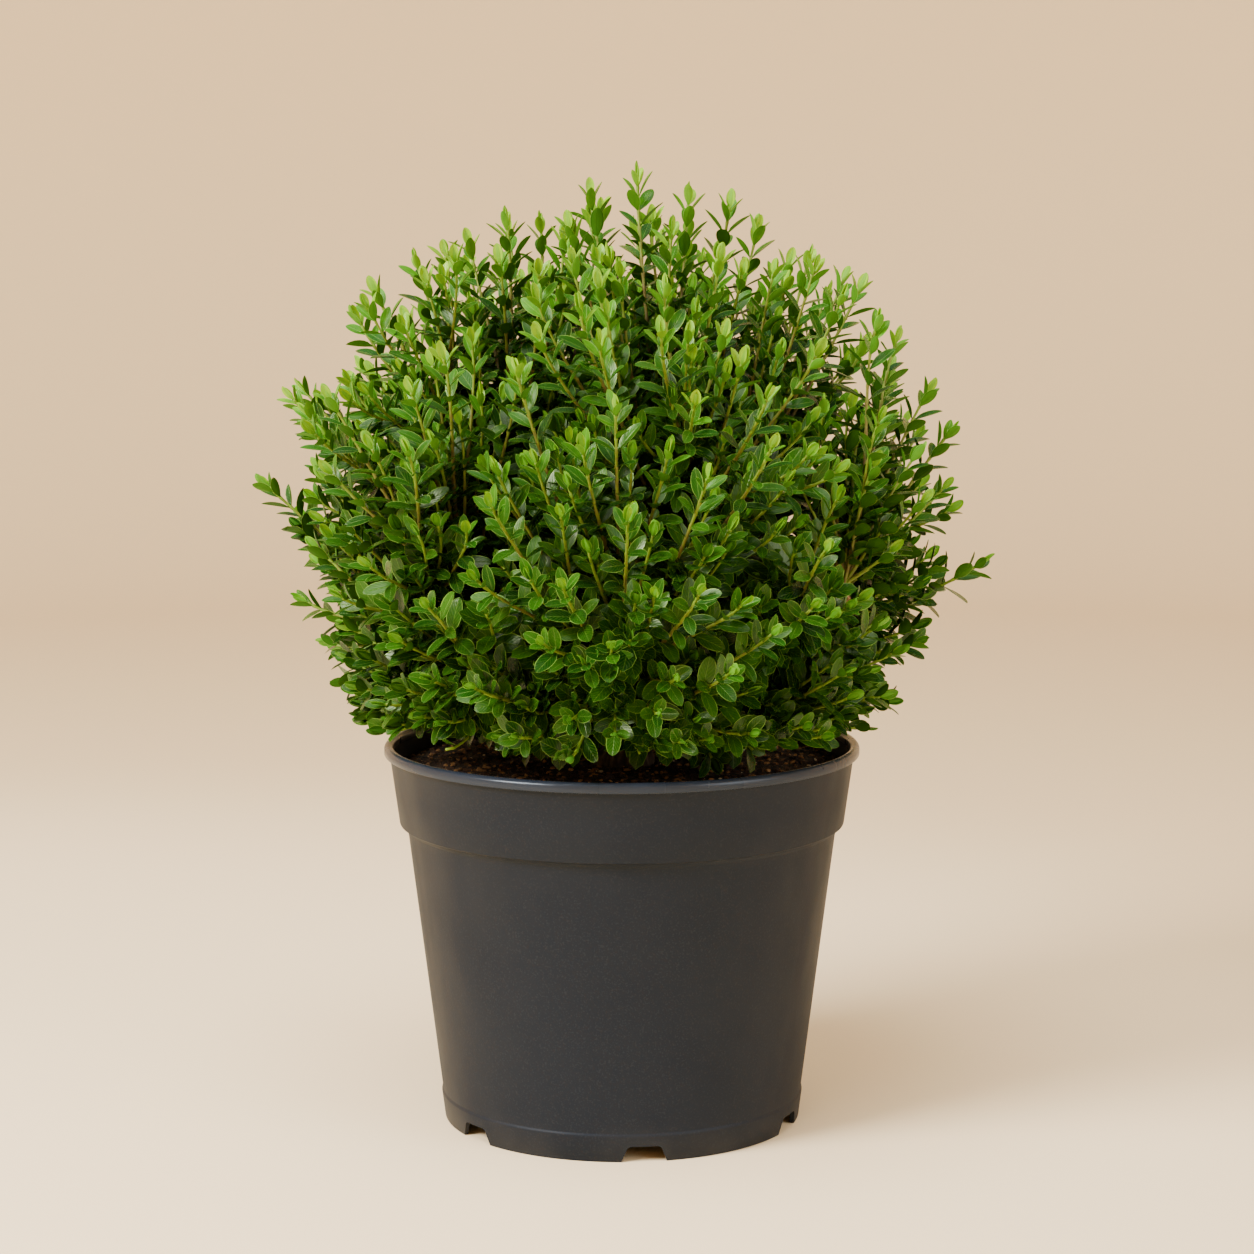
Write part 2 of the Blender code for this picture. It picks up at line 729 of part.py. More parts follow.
def main():
    clear_scene()
    parts = new_collection("potted_boxwood")
    cutters = new_collection("cutters")
    cutters.hide_render = True
    make_pot(parts, cutters)
    make_soil(parts)
    make_crown(parts)
    make_plant(parts)
    for cutter in cutters.objects:
        cutter.hide_render = True
        cutter.display_type = "WIRE"


if __name__ == "__main__":
    main()
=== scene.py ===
"""Potted boxwood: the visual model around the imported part.

A round nursery pot holds crumbly potting mix. A boxwood grows from one root crown, forks into woody
stems and ends in a dome of leafy shoots with opposite pairs of glossy oval leaves.
Units are metres, +Z is up and -Y is the front.
"""

import logging
import math
import random
from dataclasses import dataclass, field
from enum import Enum
from itertools import product

import bmesh
import bpy
from mathutils import Matrix, Vector, noise


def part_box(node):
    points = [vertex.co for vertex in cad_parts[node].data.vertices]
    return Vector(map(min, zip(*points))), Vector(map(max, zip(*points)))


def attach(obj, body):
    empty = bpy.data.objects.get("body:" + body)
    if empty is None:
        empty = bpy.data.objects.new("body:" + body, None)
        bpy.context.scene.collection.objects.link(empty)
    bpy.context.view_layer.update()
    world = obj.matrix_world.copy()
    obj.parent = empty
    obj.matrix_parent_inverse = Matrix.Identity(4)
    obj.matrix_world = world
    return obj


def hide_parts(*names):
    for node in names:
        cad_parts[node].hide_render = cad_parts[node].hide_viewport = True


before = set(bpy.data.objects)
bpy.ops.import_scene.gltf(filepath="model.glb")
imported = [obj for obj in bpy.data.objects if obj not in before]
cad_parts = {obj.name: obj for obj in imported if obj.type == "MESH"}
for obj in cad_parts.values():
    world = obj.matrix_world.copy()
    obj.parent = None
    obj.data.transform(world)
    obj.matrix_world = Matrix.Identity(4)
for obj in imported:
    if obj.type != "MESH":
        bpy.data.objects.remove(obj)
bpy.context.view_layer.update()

log = logging.getLogger("potted_boxwood")

BMesh = bmesh.types.BMesh
Material = bpy.types.Material
Socket = bpy.types.NodeSocket
Colour = tuple[float, float, float]
Triple = tuple[float, float, float]
Range = tuple[float, float]
Profile = list[tuple[float, float]]

GOLDEN_ANGLE = math.pi * (3.0 - math.sqrt(5.0))
NOISE_SEED = 41
UP = Vector((0.0, 0.0, 1.0))


def between(low: float, high: float, share: float) -> float:
    """The value a share of the way from low to high."""
    return low + (high - low) * share


def ease(share: float) -> float:
    """A smooth step from 0 to 1."""
    share = inside(share)
    return share * share * (3.0 - 2.0 * share)


def inside(value: float) -> float:
    """A value kept from 0 to 1."""
    return min(1.0, max(0.0, value))


def paint(red: int, green: int, blue: int) -> Colour:
    """A paint-chart colour as linear light.

    Args:
        red: The red channel, from 0 to 255.
        green: The green channel.
        blue: The blue channel.

    Returns:
        The colour's three channels from 0 to 1.
    """
    def linear(value: int) -> float:
        """One channel as linear light."""
        part = value / 255.0
        return part / 12.92 if part <= 0.04045 else ((part + 0.055) / 1.055) ** 2.4

    return linear(red), linear(green), linear(blue)


class Ride(Enum):
    """The body that a piece moves with."""

    WHOLE = "root"


class Slot(Enum):
    """The record's material slots."""

    POT = "pot_plastic"
    SOIL = "soil"
    CROWN = "old_bark"
    STEM = "stem_bark"
    LEAF = "leaf_green"


class Age(Enum):
    """The stages of a twig's leaves, from the bud down."""

    BUD = "bud"
    YOUNG = "young"
    GROWN = "grown"
    SKIRT = "skirt"
    SHADE = "shade"


# ---------------------------------------------------------------- materials


class FinishGraph:
    """Builds one node material step by step round a Principled shader."""

    def __init__(self, name: str) -> None:
        """Starts an empty finish.

        Args:
            name: The material's name.
        """
        self.material = bpy.data.materials.new(name)
        self.material.use_nodes = True
        self.nodes = self.material.node_tree.nodes
        self.links = self.material.node_tree.links
        self.shader = self.nodes["Principled BSDF"]

    def node(self, kind: str, **settings: object) -> bpy.types.Node:
        """Adds a node.

        Args:
            kind: The node's type name.
            **settings: Attributes to set on it.

        Returns:
            The new node.
        """
        made = self.nodes.new(kind)
        for key, value in settings.items():
            setattr(made, key, value)
        return made

    def feed(self, socket: Socket, value: object) -> None:
        """Fills a socket.

        Args:
            socket: The input.
            value: Another node's output to link, or a plain number or colour to set.
        """
        if isinstance(value, Socket):
            self.links.new(value, socket)
        elif isinstance(value, tuple) and len(value) == 3 and socket.type == "RGBA":
            socket.default_value = (*value, 1.0)
        else:
            socket.default_value = value

    def place(self) -> Socket:
        """The point on the piece, in its own coordinates."""
        return self.node("ShaderNodeTexCoord").outputs["Object"]

    def attribute(self, name: str) -> Socket:
        """A number stored on the piece's points."""
        return self.node("ShaderNodeAttribute", attribute_name=name).outputs["Fac"]

    def noise(self, scale: float, detail: float = 3.0, stretch: Triple = (1.0, 1.0, 1.0)) -> Socket:
        """A noise pattern on the piece's coordinates.

        Args:
            scale: How fine it is, per metre.
            detail: How many finer layers it has.
            stretch: How it is scaled along each axis.

        Returns:
            The pattern, from 0 to 1.
        """
        mapping = self.node("ShaderNodeMapping")
        self.feed(mapping.inputs["Vector"], self.place())
        mapping.inputs["Scale"].default_value = stretch
        pattern = self.node("ShaderNodeTexNoise")
        self.feed(pattern.inputs["Vector"], mapping.outputs["Vector"])
        pattern.inputs["Scale"].default_value = scale
        pattern.inputs["Detail"].default_value = detail
        return pattern.outputs["Fac"]

    def math(self, operation: str, first: object, second: object = 0.0) -> Socket:
        """One step of arithmetic.

        Args:
            operation: Which one, such as ADD or MULTIPLY.
            first: The first number.
            second: The second number.

        Returns:
            The result.
        """
        made = self.node("ShaderNodeMath", operation=operation)
        self.feed(made.inputs[0], first)
        self.feed(made.inputs[1], second)
        return made.outputs["Value"]

    def span(
        self, value: object, low: float, high: float, out_low: float = 0.0, out_high: float = 1.0,
    ) -> Socket:
        """Maps one range of a number on to another with a smooth step.

        Args:
            value: The number.
            low: Where the step starts.
            high: Where it ends.
            out_low: The result at the start and before it.
            out_high: The result at the end and past it.

        Returns:
            The mapped number.
        """
        made = self.node("ShaderNodeMapRange", interpolation_type="SMOOTHSTEP")
        for index, item in enumerate((value, low, high, out_low, out_high)):
            self.feed(made.inputs[index], item)
        return made.outputs["Result"]

    def blend(self, share: object, first: object, second: object) -> Socket:
        """Mixes two colours.

        Args:
            share: How far the result is from first to second.
            first: The one colour.
            second: The other one.

        Returns:
            The mixed colour.
        """
        made = self.node("ShaderNodeMix", data_type="RGBA")
        self.feed(made.inputs["Factor"], share)
        self.feed(made.inputs["A"], first)
        self.feed(made.inputs["B"], second)
        return made.outputs["Result"]

    def ramp(self, value: object, stops: list[tuple[float, Colour]]) -> Socket:
        """Colours along a number from 0 to 1.

        Args:
            value: The number.
            stops: The place and colour of each stop, in order.

        Returns:
            The colour.
        """
        made = self.node("ShaderNodeValToRGB")
        band = made.color_ramp
        while len(band.elements) < len(stops):
            band.elements.new(1.0)
        for element, (place, colour) in zip(band.elements, stops):
            element.position = place
            element.color = (*colour, 1.0)
        self.feed(made.inputs["Fac"], value)
        return made.outputs["Color"]

    def bump(self, height: object, depth: float, strength: float = 1.0, normal: object = None) -> Socket:
        """Surface relief.

        Args:
            height: The pattern, from 0 to 1.
            depth: How deep it is, in metres.
            strength: How much of it shows.
            normal: Relief that this one lies on.

        Returns:
            The bent normal.
        """
        made = self.node("ShaderNodeBump")
        made.inputs["Strength"].default_value = strength
        made.inputs["Distance"].default_value = depth
        self.feed(made.inputs["Height"], height)
        if normal is not None:
            self.feed(made.inputs["Normal"], normal)
        return made.outputs["Normal"]

    def finish(self, colour: object, roughness: object, normal: object = None, **sockets: float) -> Material:
        """Joins the patterns to the shader.

        Args:
            colour: The base colour.
            roughness: The roughness.
            normal: The bent normal, if there is relief.
            **sockets: Plain values for further sockets, with _ for a space.

        Returns:
            The finished material.
        """
        self.feed(self.shader.inputs["Base Color"], colour)
        self.feed(self.shader.inputs["Roughness"], roughness)
        if normal is not None:
            self.feed(self.shader.inputs["Normal"], normal)
        for name, value in sockets.items():
            self.shader.inputs[name.replace("_", " ")].default_value = value
        return self.material


@dataclass(frozen=True)
class LeafFinish:
    """Glossy leaf: bright when young, deep green when old, with a pale midrib, margin and underside; young
    undersides are lightened further as painted light through the leaf.
    """

    fresh: Colour = paint(136, 180, 5)
    young: Colour = paint(66, 128, 6)
    grown: Colour = paint(14, 66, 5)
    old: Colour = paint(5, 36, 3)
    rib: Colour = paint(150, 192, 84)
    underside: Colour = paint(82, 138, 30)
    vein_slant: float = 0.55
    vein_rate: float = 62.0
    relief: float = 0.00015
    shine: float = 0.23
    sheen_tint: tuple[float, float, float, float] = (0.90, 1.0, 0.66, 1.0)

    def make(self) -> Material:
        """Makes the material from the leaf's own map and the age, tint and side of its points.

        Returns:
            The leaf material.
        """
        g = FinishGraph("boxwood_leaf")
        parts = g.node("ShaderNodeSeparateXYZ")
        g.feed(parts.inputs[0], g.node("ShaderNodeUVMap", uv_map="LeafMap").outputs["UV"])
        across = g.math("ABSOLUTE", g.math("SUBTRACT", parts.outputs["X"], 0.5))
        along = parts.outputs["Y"]
        # The age also carries painted shade: leaves deep in the bush or low down are aged to darken them.
        age = g.attribute("age")
        mottle = g.noise(260.0, 2.0)
        shifted = g.math("ADD", age, g.span(mottle, 0.3, 0.7, -0.05, 0.05))
        body = g.ramp(shifted, [(0.0, self.fresh), (0.20, self.young), (0.46, self.grown), (1.0, self.old)])
        body = g.blend(g.span(g.attribute("tint"), 0.0, 1.0, 0.0, 0.24), body, self.young)
        rib = g.span(across, 0.006, 0.026, 0.36, 0.0)
        margin = g.span(across, 0.458, 0.485, 0.0, 0.80)
        slanted = g.math("SUBTRACT", along, g.math("MULTIPLY", across, self.vein_slant))
        veins = g.math("SINE", g.math("MULTIPLY", slanted, self.vein_rate))
        top = g.blend(g.span(veins, 0.3, 1.0, 0.0, 0.05), body, self.rib)
        rib = g.math("MULTIPLY", rib, g.span(age, 0.35, 1.0, 1.0, 0.40))
        margin = g.math("MULTIPLY", margin, g.span(age, 0.35, 1.0, 1.0, 0.60))
        top = g.blend(g.math("MAXIMUM", rib, margin), top, self.rib)
        side = g.span(g.attribute("side"), 0.30, 0.48)
        # The underside is really paler; blending young leaves' undersides this far towards it is painted
        # light through the leaf.
        under = g.blend(g.span(age, 0.15, 0.75, 0.62, 0.22), body, self.underside)
        colour = g.blend(side, under, top)
        relief = g.math("ADD", g.math("MULTIPLY", veins, 0.18), g.span(across, 0.0, 0.06, -0.8, 0.0))
        normal = g.bump(relief, self.relief, 0.7)
        gloss = g.math("ADD", g.span(side, 0.0, 1.0, 0.56, 0.24), g.span(mottle, 0.3, 0.7, -0.04, 0.06))
        return g.finish(colour, gloss, normal, Specular_IOR_Level=self.shine, Specular_Tint=self.sheen_tint)


@dataclass(frozen=True)
class TwigFinish:
    """Green-gold at the bud, tan lower down and red-brown where it turns to wood."""

    bud: Colour = paint(104, 136, 14)
    tan: Colour = paint(96, 86, 20)
    brown: Colour = paint(60, 37, 15)

    def make(self) -> Material:
        """Makes the material from the age of its points.

        Returns:
            The twig material.
        """
        g = FinishGraph("boxwood_twig")
        grain = g.noise(900.0, 4.0, (1.0, 1.0, 0.25))
        age = g.math("ADD", g.attribute("age"), g.span(grain, 0.3, 0.7, -0.12, 0.12))
        colour = g.ramp(age, [(0.0, self.bud), (0.32, self.tan), (0.66, self.brown)])
        return g.finish(colour, g.span(grain, 0.2, 0.8, 0.5, 0.7), g.bump(grain, 0.0002, 0.6))


@dataclass(frozen=True)
class BarkFinish:
    """Grey-brown bark with long fissures and paler ridges."""

    name: str
    # These default colours are the root crown's; their darkness is in part older bark, in part painted shade
    # under the leaves.
    ridge: Colour = paint(96, 74, 50)
    body: Colour = paint(58, 42, 27)
    fissure: Colour = paint(28, 20, 13)
    fineness: float = 420.0
    depth: float = 0.0005

    def make(self) -> Material:
        """Makes the material from stretched grain and large patches.

        Returns:
            The bark material.
        """
        g = FinishGraph(self.name)
        grain = g.noise(self.fineness, 6.0, (1.0, 1.0, 0.22))
        patches = g.noise(90.0, 2.0)
        colour = g.ramp(grain, [(0.32, self.fissure), (0.5, self.body), (0.68, self.ridge)])
        colour = g.blend(g.span(patches, 0.4, 0.7, 0.0, 0.4), colour, self.fissure)
        return g.finish(colour, g.span(grain, 0.3, 0.7, 0.92, 0.72), g.bump(grain, self.depth, 0.9))


@dataclass(frozen=True)
class PottingMixFinish:
    """Dark peat with brown and paler fibres."""

    peat: Colour = paint(22, 15, 10)
    fibre: Colour = paint(66, 44, 26)
    fleck: Colour = paint(170, 126, 76)

    def make(self) -> Material:
        """Makes the material from coarse fibres and fine flecks.

        Returns:
            The potting mix material.
        """
        g = FinishGraph("potting_mix")
        coarse = g.noise(260.0, 6.0)
        fine = g.noise(1300.0, 4.0)
        colour = g.blend(g.span(coarse, 0.48, 0.70), self.peat, self.fibre)
        colour = g.blend(g.span(fine, 0.62, 0.70, 0.0, 0.85), colour, self.fleck)
        normal = g.bump(fine, 0.0012, 0.8, g.bump(coarse, 0.003, 0.9))
        return g.finish(colour, 0.94, normal, Specular_IOR_Level=0.25)


@dataclass(frozen=True)
class CrumbFinish:
    """Bark chips, peat crumbs and a few pale mineral grains, told apart by their tint."""

    peat: Colour = paint(24, 16, 10)
    bark: Colour = paint(66, 43, 25)
    rust: Colour = paint(150, 110, 64)
    grain: Colour = paint(196, 176, 142)

    def make(self) -> Material:
        """Makes the material from the tint of its points.

        Returns:
            The crumb material.
        """
        g = FinishGraph("mix_crumbs")
        fine = g.noise(1500.0, 4.0)
        tint = g.math("ADD", g.attribute("tint"), g.span(fine, 0.3, 0.7, -0.05, 0.05))
        colour = g.ramp(tint, [(0.0, self.peat), (0.55, self.bark), (0.86, self.rust), (0.95, self.grain)])
        return g.finish(colour, 0.9, g.bump(fine, 0.0008, 0.8), Specular_IOR_Level=0.3)


@dataclass(frozen=True)
class PlasticFinish:
    """Charcoal moulded plastic with a fine matte grain and faint scuffs and dust."""

    name: str
    colour: Colour = paint(21, 25, 33)
    worn: Colour = paint(35, 38, 43)
    dust: Colour = paint(150, 140, 124)
    roughness: float = 0.50
    grain_depth: float = 0.00009
    shine: float = 0.13
    sheen_tint: tuple[float, float, float, float] = (0.80, 0.90, 1.0, 1.0)

    def make(self) -> Material:
        """Makes the material from a fine grain, broad clouds of wear and a little dust at the foot.

        Returns:
            The plastic material.
        """
        g = FinishGraph(self.name)
        grain = g.noise(1100.0, 3.0)
        cloud = g.noise(26.0, 4.0)
        flow = g.noise(30.0, 4.0, (1.0, 1.0, 0.45))
        height = g.node("ShaderNodeSeparateXYZ")
        g.feed(height.inputs[0], g.place())
        colour = g.blend(g.span(cloud, 0.35, 0.75, 0.0, 0.14), self.colour, self.worn)
        colour = g.blend(g.span(grain, 0.54, 0.66, 0.0, 0.55), colour, self.worn)
        low = g.math("MULTIPLY", g.span(height.outputs["Z"], 0.0, 0.022, 0.04, 0.0), g.span(cloud, 0.3, 0.7))
        colour = g.blend(low, colour, self.dust)
        rough = g.math("ADD", self.roughness, g.span(flow, 0.3, 0.7, -0.05, 0.07))
        normal = g.bump(grain, self.grain_depth, 0.5, g.bump(flow, 0.0003, 0.08))
        return g.finish(colour, rough, normal, Specular_IOR_Level=self.shine, Specular_Tint=self.sheen_tint)


@dataclass(frozen=True)
class FloorWithPaintedLightPool:
    """The floor: pale round a spot left of the pot, a painted pool of light from the key panel, and a little
    warmer further out.
    """

    near: Colour = paint(246, 224, 184)
    far: Colour = paint(230, 205, 163)
    # The palest spot sits left of the pot, under the key panel: a painted pool of light.
    centre: Triple = (-0.35, 0.0, 0.0)

    def make(self) -> Material:
        """Makes the material from the distance to its palest spot, the middle of the painted pool of light.

        Returns:
            The floor material.
        """
        g = FinishGraph("studio_floor")
        offset = g.node("ShaderNodeVectorMath", operation="SUBTRACT")
        g.feed(offset.inputs[0], g.place())
        offset.inputs[1].default_value = self.centre
        length = g.node("ShaderNodeVectorMath", operation="LENGTH")
        g.feed(length.inputs[0], offset.outputs["Vector"])
        return g.finish(g.blend(g.span(length.outputs["Value"], 0.55, 1.1), self.near, self.far), 0.85)


# ---------------------------------------------------------------- shared making


def linked(name: str, data: bpy.types.ID) -> bpy.types.Object:
    """Puts some data into the scene.

    Args:
        name: The object's name.
        data: Its mesh, camera or light.

    Returns:
        The new object.
    """
    made = bpy.data.objects.new(name, data)
    bpy.context.scene.collection.objects.link(made)
    return made


def pressed(bm: BMesh, name: str) -> bpy.types.Mesh:
    """Writes a shape into a mesh.

    Args:
        bm: The shape, which is freed.
        name: The mesh's name.

    Returns:
        The new mesh.
    """
    mesh = bpy.data.meshes.new(name)
    bm.to_mesh(mesh)
    bm.free()
    return mesh


def piece_from(
    bm: BMesh, name: str, finishes: list[Material],
    stands_for: tuple[str, ...] = (), crease: float = 35.0,
) -> bpy.types.Object:
    """Turns a finished bmesh into a piece of the object.

    Args:
        bm: The shape, which is freed.
        name: The piece's name.
        finishes: Its materials, by face material number.
        stands_for: The CAD nodes that it replaces.
        crease: The angle past which an edge looks sharp, in degrees.

    Returns:
        The new object.
    """
    mesh = pressed(bm, name)
    mesh.shade_smooth()
    if crease < 180.0:
        mesh.set_sharp_from_angle(angle=math.radians(crease))
    for finish in finishes:
        mesh.materials.append(finish)
    piece = linked(name, mesh)
    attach(piece, Ride.WHOLE.value)
    if stands_for:
        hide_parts(*stands_for)
    log.info("%s: %d faces", name, len(mesh.polygons))
    return piece


def turned(profile: Profile, steps: int) -> BMesh:
    """Spins an outline about the Z axis.

    Args:
        profile: (radius, height) points from axis to axis.
        steps: Steps in the full turn.

    Returns:
        The closed shape.
    """
    bm = bmesh.new()
    verts = [bm.verts.new((radius, 0.0, height)) for radius, height in profile]
    edges = [bm.edges.new(pair) for pair in zip(verts, verts[1:])]
    bmesh.ops.spin(
        bm, geom=verts + edges, cent=(0, 0, 0), axis=(0, 0, 1), dvec=(0, 0, 0),
        angle=math.tau, steps=steps, use_merge=True, use_duplicate=False,
    )
    bmesh.ops.remove_doubles(bm, verts=bm.verts, dist=1e-6)
    bmesh.ops.recalc_face_normals(bm, faces=bm.faces)
    return bm


def soften(bm: BMesh, width: float, angle: float, segments: int = 2) -> None:
    """Bevels every edge sharper than an angle.

    Args:
        bm: The shape.
        width: How far the bevel reaches.
        angle: The least angle between the faces, in degrees.
        segments: Steps across the bevel.
    """
    least = math.radians(angle)
    sharp = [e for e in bm.edges if len(e.link_faces) == 2 and e.calc_face_angle() > least]
    bmesh.ops.bevel(
        bm, geom=sharp, offset=width, offset_type="OFFSET", affect="EDGES", segments=segments,
        profile=0.5, material=-1, clamp_overlap=True,
    )


def carve(bm: BMesh, cutter: BMesh) -> BMesh:
    """Takes one shape out of another.

    Args:
        bm: The shape that is cut, which is freed.
        cutter: What is cut away, which is freed.

    Returns:
        The cut shape.
    """
    items = [linked(name, pressed(shape, name)) for name, shape in (("carved", bm), ("carver", cutter))]
    body, tool = items
    boolean = body.modifiers.new("Carve", "BOOLEAN")
    boolean.operation = "DIFFERENCE"
    boolean.solver = "EXACT"
    boolean.object = tool
    made = bpy.data.meshes.new_from_object(body.evaluated_get(bpy.context.evaluated_depsgraph_get()))
    result = bmesh.new()
    result.from_mesh(made)
    for item in items:
        mesh = item.data
        bpy.data.objects.remove(item)
        bpy.data.meshes.remove(mesh)
    bpy.data.meshes.remove(made)
    return result


def append(bm: BMesh, mesh: bpy.types.Mesh, finish: int = 0) -> list[bmesh.types.BMVert]:
    """Adds a copy of a ready-made mesh to a shape.

    Args:
        bm: The shape.
        mesh: What is added.
        finish: The material number of its faces.

    Returns:
        The new points.
    """
    old_verts, old_faces = len(bm.verts), len(bm.faces)
    bm.from_mesh(mesh, face_normals=False, vertex_normals=False)
    bm.verts.ensure_lookup_table()
    bm.faces.ensure_lookup_table()
    for face in bm.faces[old_faces:]:
        face.material_index = finish
    return bm.verts[old_verts:]


def tube(
    bm: BMesh, route: list[Vector], radii: list[float], sides: int, ages: list[float],
) -> None:
    """Draws a round tube along a route, ring by ring.

    Args:
        bm: The shape that the tube is added to, with an "age" layer on its points.
        route: The middle of each ring.
        radii: The radius of each ring.
        sides: Faces round the tube.
        ages: The age written on each ring.
    """
    drawn = bmesh.new()
    layer = drawn.verts.layers.float.new("age")
    heading = (route[1] - route[0]).normalized()
    turn = heading.to_track_quat("Z", "Y").to_matrix().to_4x4()
    foot = bmesh.ops.create_circle(
        drawn, cap_ends=True, segments=sides, radius=radii[0], matrix=Matrix.Translation(route[0]) @ turn,
    )["verts"]
    for vert in foot:
        vert[layer] = ages[0]
    cap = foot[0].link_faces[0]
    spokes = [(vert.co - route[0]) / radii[0] for vert in cap.verts]
    for index in range(1, len(route)):
        towards = (route[min(index + 1, len(route) - 1)] - route[index - 1]).normalized()
        swing = heading.rotation_difference(towards)
        heading = towards
        spokes = [swing @ spoke for spoke in spokes]
        cap = bmesh.ops.extrude_discrete_faces(drawn, faces=[cap])["faces"][0]
        for vert, spoke in zip(cap.verts, spokes):
            vert.co = route[index] + spoke * radii[index]
            vert[layer] = ages[index]
    mesh = pressed(drawn, "tube")
    append(bm, mesh)
    bpy.data.meshes.remove(mesh)


# ---------------------------------------------------------------- nursery pot


@dataclass
class NurseryPot:
    """One moulded shell: rolled lip, stacking collar, tapered body and a notched foot band."""

    base_radius: float = 0.0905
    wall: float = 0.002
    lip_height: float = 0.005
    lip_overhang: float = 0.0028
    collar_height: float = 0.035
    collar_draft: float = 0.0048
    shoulder_height: float = 0.007
    shoulder_step: float = 0.0045
    band_height: float = 0.0135
    band_proud: float = 0.0006
    floor_rise: float = 0.010
    floor_thickness: float = 0.002
    notch_count: int = 6
    notch_height: float = 0.008
    notch_top_width: float = 0.016
    notch_foot_width: float = 0.024
    notch_turn: float = math.radians(7.0)
    drain_radius: float = 0.007
    drain_from_foot: float = 0.017
    lip_arc: Range = (165.0, 8.0)
    lip_steps: int = 8
    shoulder_round: Range = (0.80, 0.18)
    notch_rounding: float = 0.0016
    notch_reach: float = 12.0
    drain_sides: int = 32
    edge_rounding: float = 0.0005
    sharp_angle: float = 24.0
    lip_drop: float = 0.0006
    # The lip's lighter, bluer colours are a painted reflection of the cool sky; its lower roughness is real.
    lip_colour_painted_reflection: Colour = paint(34, 40, 51)
    lip_worn_painted_reflection: Colour = paint(38, 44, 54)
    lip_roughness: float = 0.25
    lip_grain: float = 0.00001
    lip_shine: float = 0.22
    steps: int = 192
    rim_radius: float = field(init=False)
    height: float = field(init=False)

    def __post_init__(self) -> None:
        """Takes the overall sizes from the CAD pot."""
        low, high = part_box("nursery_pot")
        self.rim_radius = (high.x - low.x) / 2
        self.height = high.z

    @property
    def lip_lower(self) -> float:
        """Height of the lip's lower edge."""
        return self.height - self.lip_height

    @property
    def collar_lower(self) -> float:
        """Height of the collar's lower edge."""
        return self.lip_lower - self.collar_height

    @property
    def body_top(self) -> float:
        """Height where the shoulder meets the tapered body."""
        return self.collar_lower - self.shoulder_height

    @property
    def collar_top_radius(self) -> float:
        """Outside radius under the lip."""
        return self.rim_radius - self.lip_overhang

    @property
    def body_top_radius(self) -> float:
        """Outside radius of the body under the shoulder."""
        return self.collar_top_radius - self.collar_draft - self.shoulder_step

    def body_radius(self, height: float) -> float:
        """Outside radius of the tapered body at a height."""
        return between(self.base_radius - self.band_proud, self.body_top_radius, height / self.body_top)

    def inside_radius(self, height: float) -> float:
        """Inside radius of the collar at a height."""
        share = (height - self.collar_lower) / (self.lip_lower - self.collar_lower)
        return between(self.collar_top_radius - self.collar_draft, self.collar_top_radius, share) - self.wall

    def outline(self) -> Profile:
        """Traces the shell from the middle of the floor's top, over the lip, to the middle of its underside.

        Returns:
            The outline's points.
        """
        floor_top = self.floor_rise + self.floor_thickness
        roll = (self.lip_overhang + self.wall) / 2
        centre, crest = self.rim_radius - roll, self.height - roll
        collar_foot = self.collar_top_radius - self.collar_draft
        band = self.body_radius(self.band_height)
        points = [
            (0.0, floor_top),
            (self.body_radius(floor_top) - self.wall, floor_top),
            (self.body_top_radius - self.wall, self.body_top),
            (collar_foot - self.wall, self.collar_lower),
            (self.collar_top_radius - self.wall, crest - self.wall),
        ]
        for step in range(self.lip_steps + 1):
            angle = math.radians(between(*self.lip_arc, step / self.lip_steps))
            points.append((centre + roll * math.cos(angle), crest + roll * math.sin(angle)))
        inward, downward = self.shoulder_round
        rounded = self.collar_lower - self.shoulder_height * downward
        middle = between(self.collar_top_radius, collar_foot, 0.5)
        points += [
            (self.rim_radius, self.lip_lower),
            (self.collar_top_radius, self.lip_lower),
            (middle, between(self.lip_lower, self.collar_lower, 0.5)),
            (collar_foot, self.collar_lower),
            (between(collar_foot, self.body_top_radius, inward), rounded),
            (self.body_top_radius, self.body_top),
            (band, self.band_height + self.band_proud * 1.5),
            (band + self.band_proud, self.band_height),
            (band + self.band_proud, self.band_height - self.band_proud),
            (self.base_radius, 0.0),
            (self.base_radius - self.wall, 0.0),
            (self.body_radius(self.floor_rise) - self.wall, self.floor_rise),
            (0.0, self.floor_rise),
        ]
        return points

    def add_notch(self, bm: BMesh, turn: float) -> None:
        """Adds one wedge with rounded upper corners that cuts through the foot band.

        Args:
            bm: The shape of all the openings.
            turn: Its direction from the axis.
        """
        made = bmesh.ops.create_cube(bm, size=1.0)["verts"]
        for vert in made:
            high = vert.co.z > 0
            vert.co.x = self.base_radius + vert.co.x * self.wall * self.notch_reach
            vert.co.y *= self.notch_top_width if high else self.notch_foot_width
            vert.co.z = self.notch_height if high else -self.notch_height / 4
        edges = dict.fromkeys(edge for vert in made for edge in vert.link_edges)
        upper = [edge for edge in edges if all(vert.co.z > 0 for vert in edge.verts)]
        corners = [edge for edge in upper if abs(edge.verts[0].co.y - edge.verts[1].co.y) < 1e-6]
        rounded = bmesh.ops.bevel(
            bm, geom=corners, offset=self.notch_rounding, offset_type="OFFSET", affect="EDGES", segments=3,
            profile=0.5, material=-1,
        )
        block = [vert for vert in dict.fromkeys([*made, *rounded["verts"]]) if vert.is_valid]
        bmesh.ops.transform(bm, matrix=Matrix.Rotation(turn, 4, "Z"), verts=block)

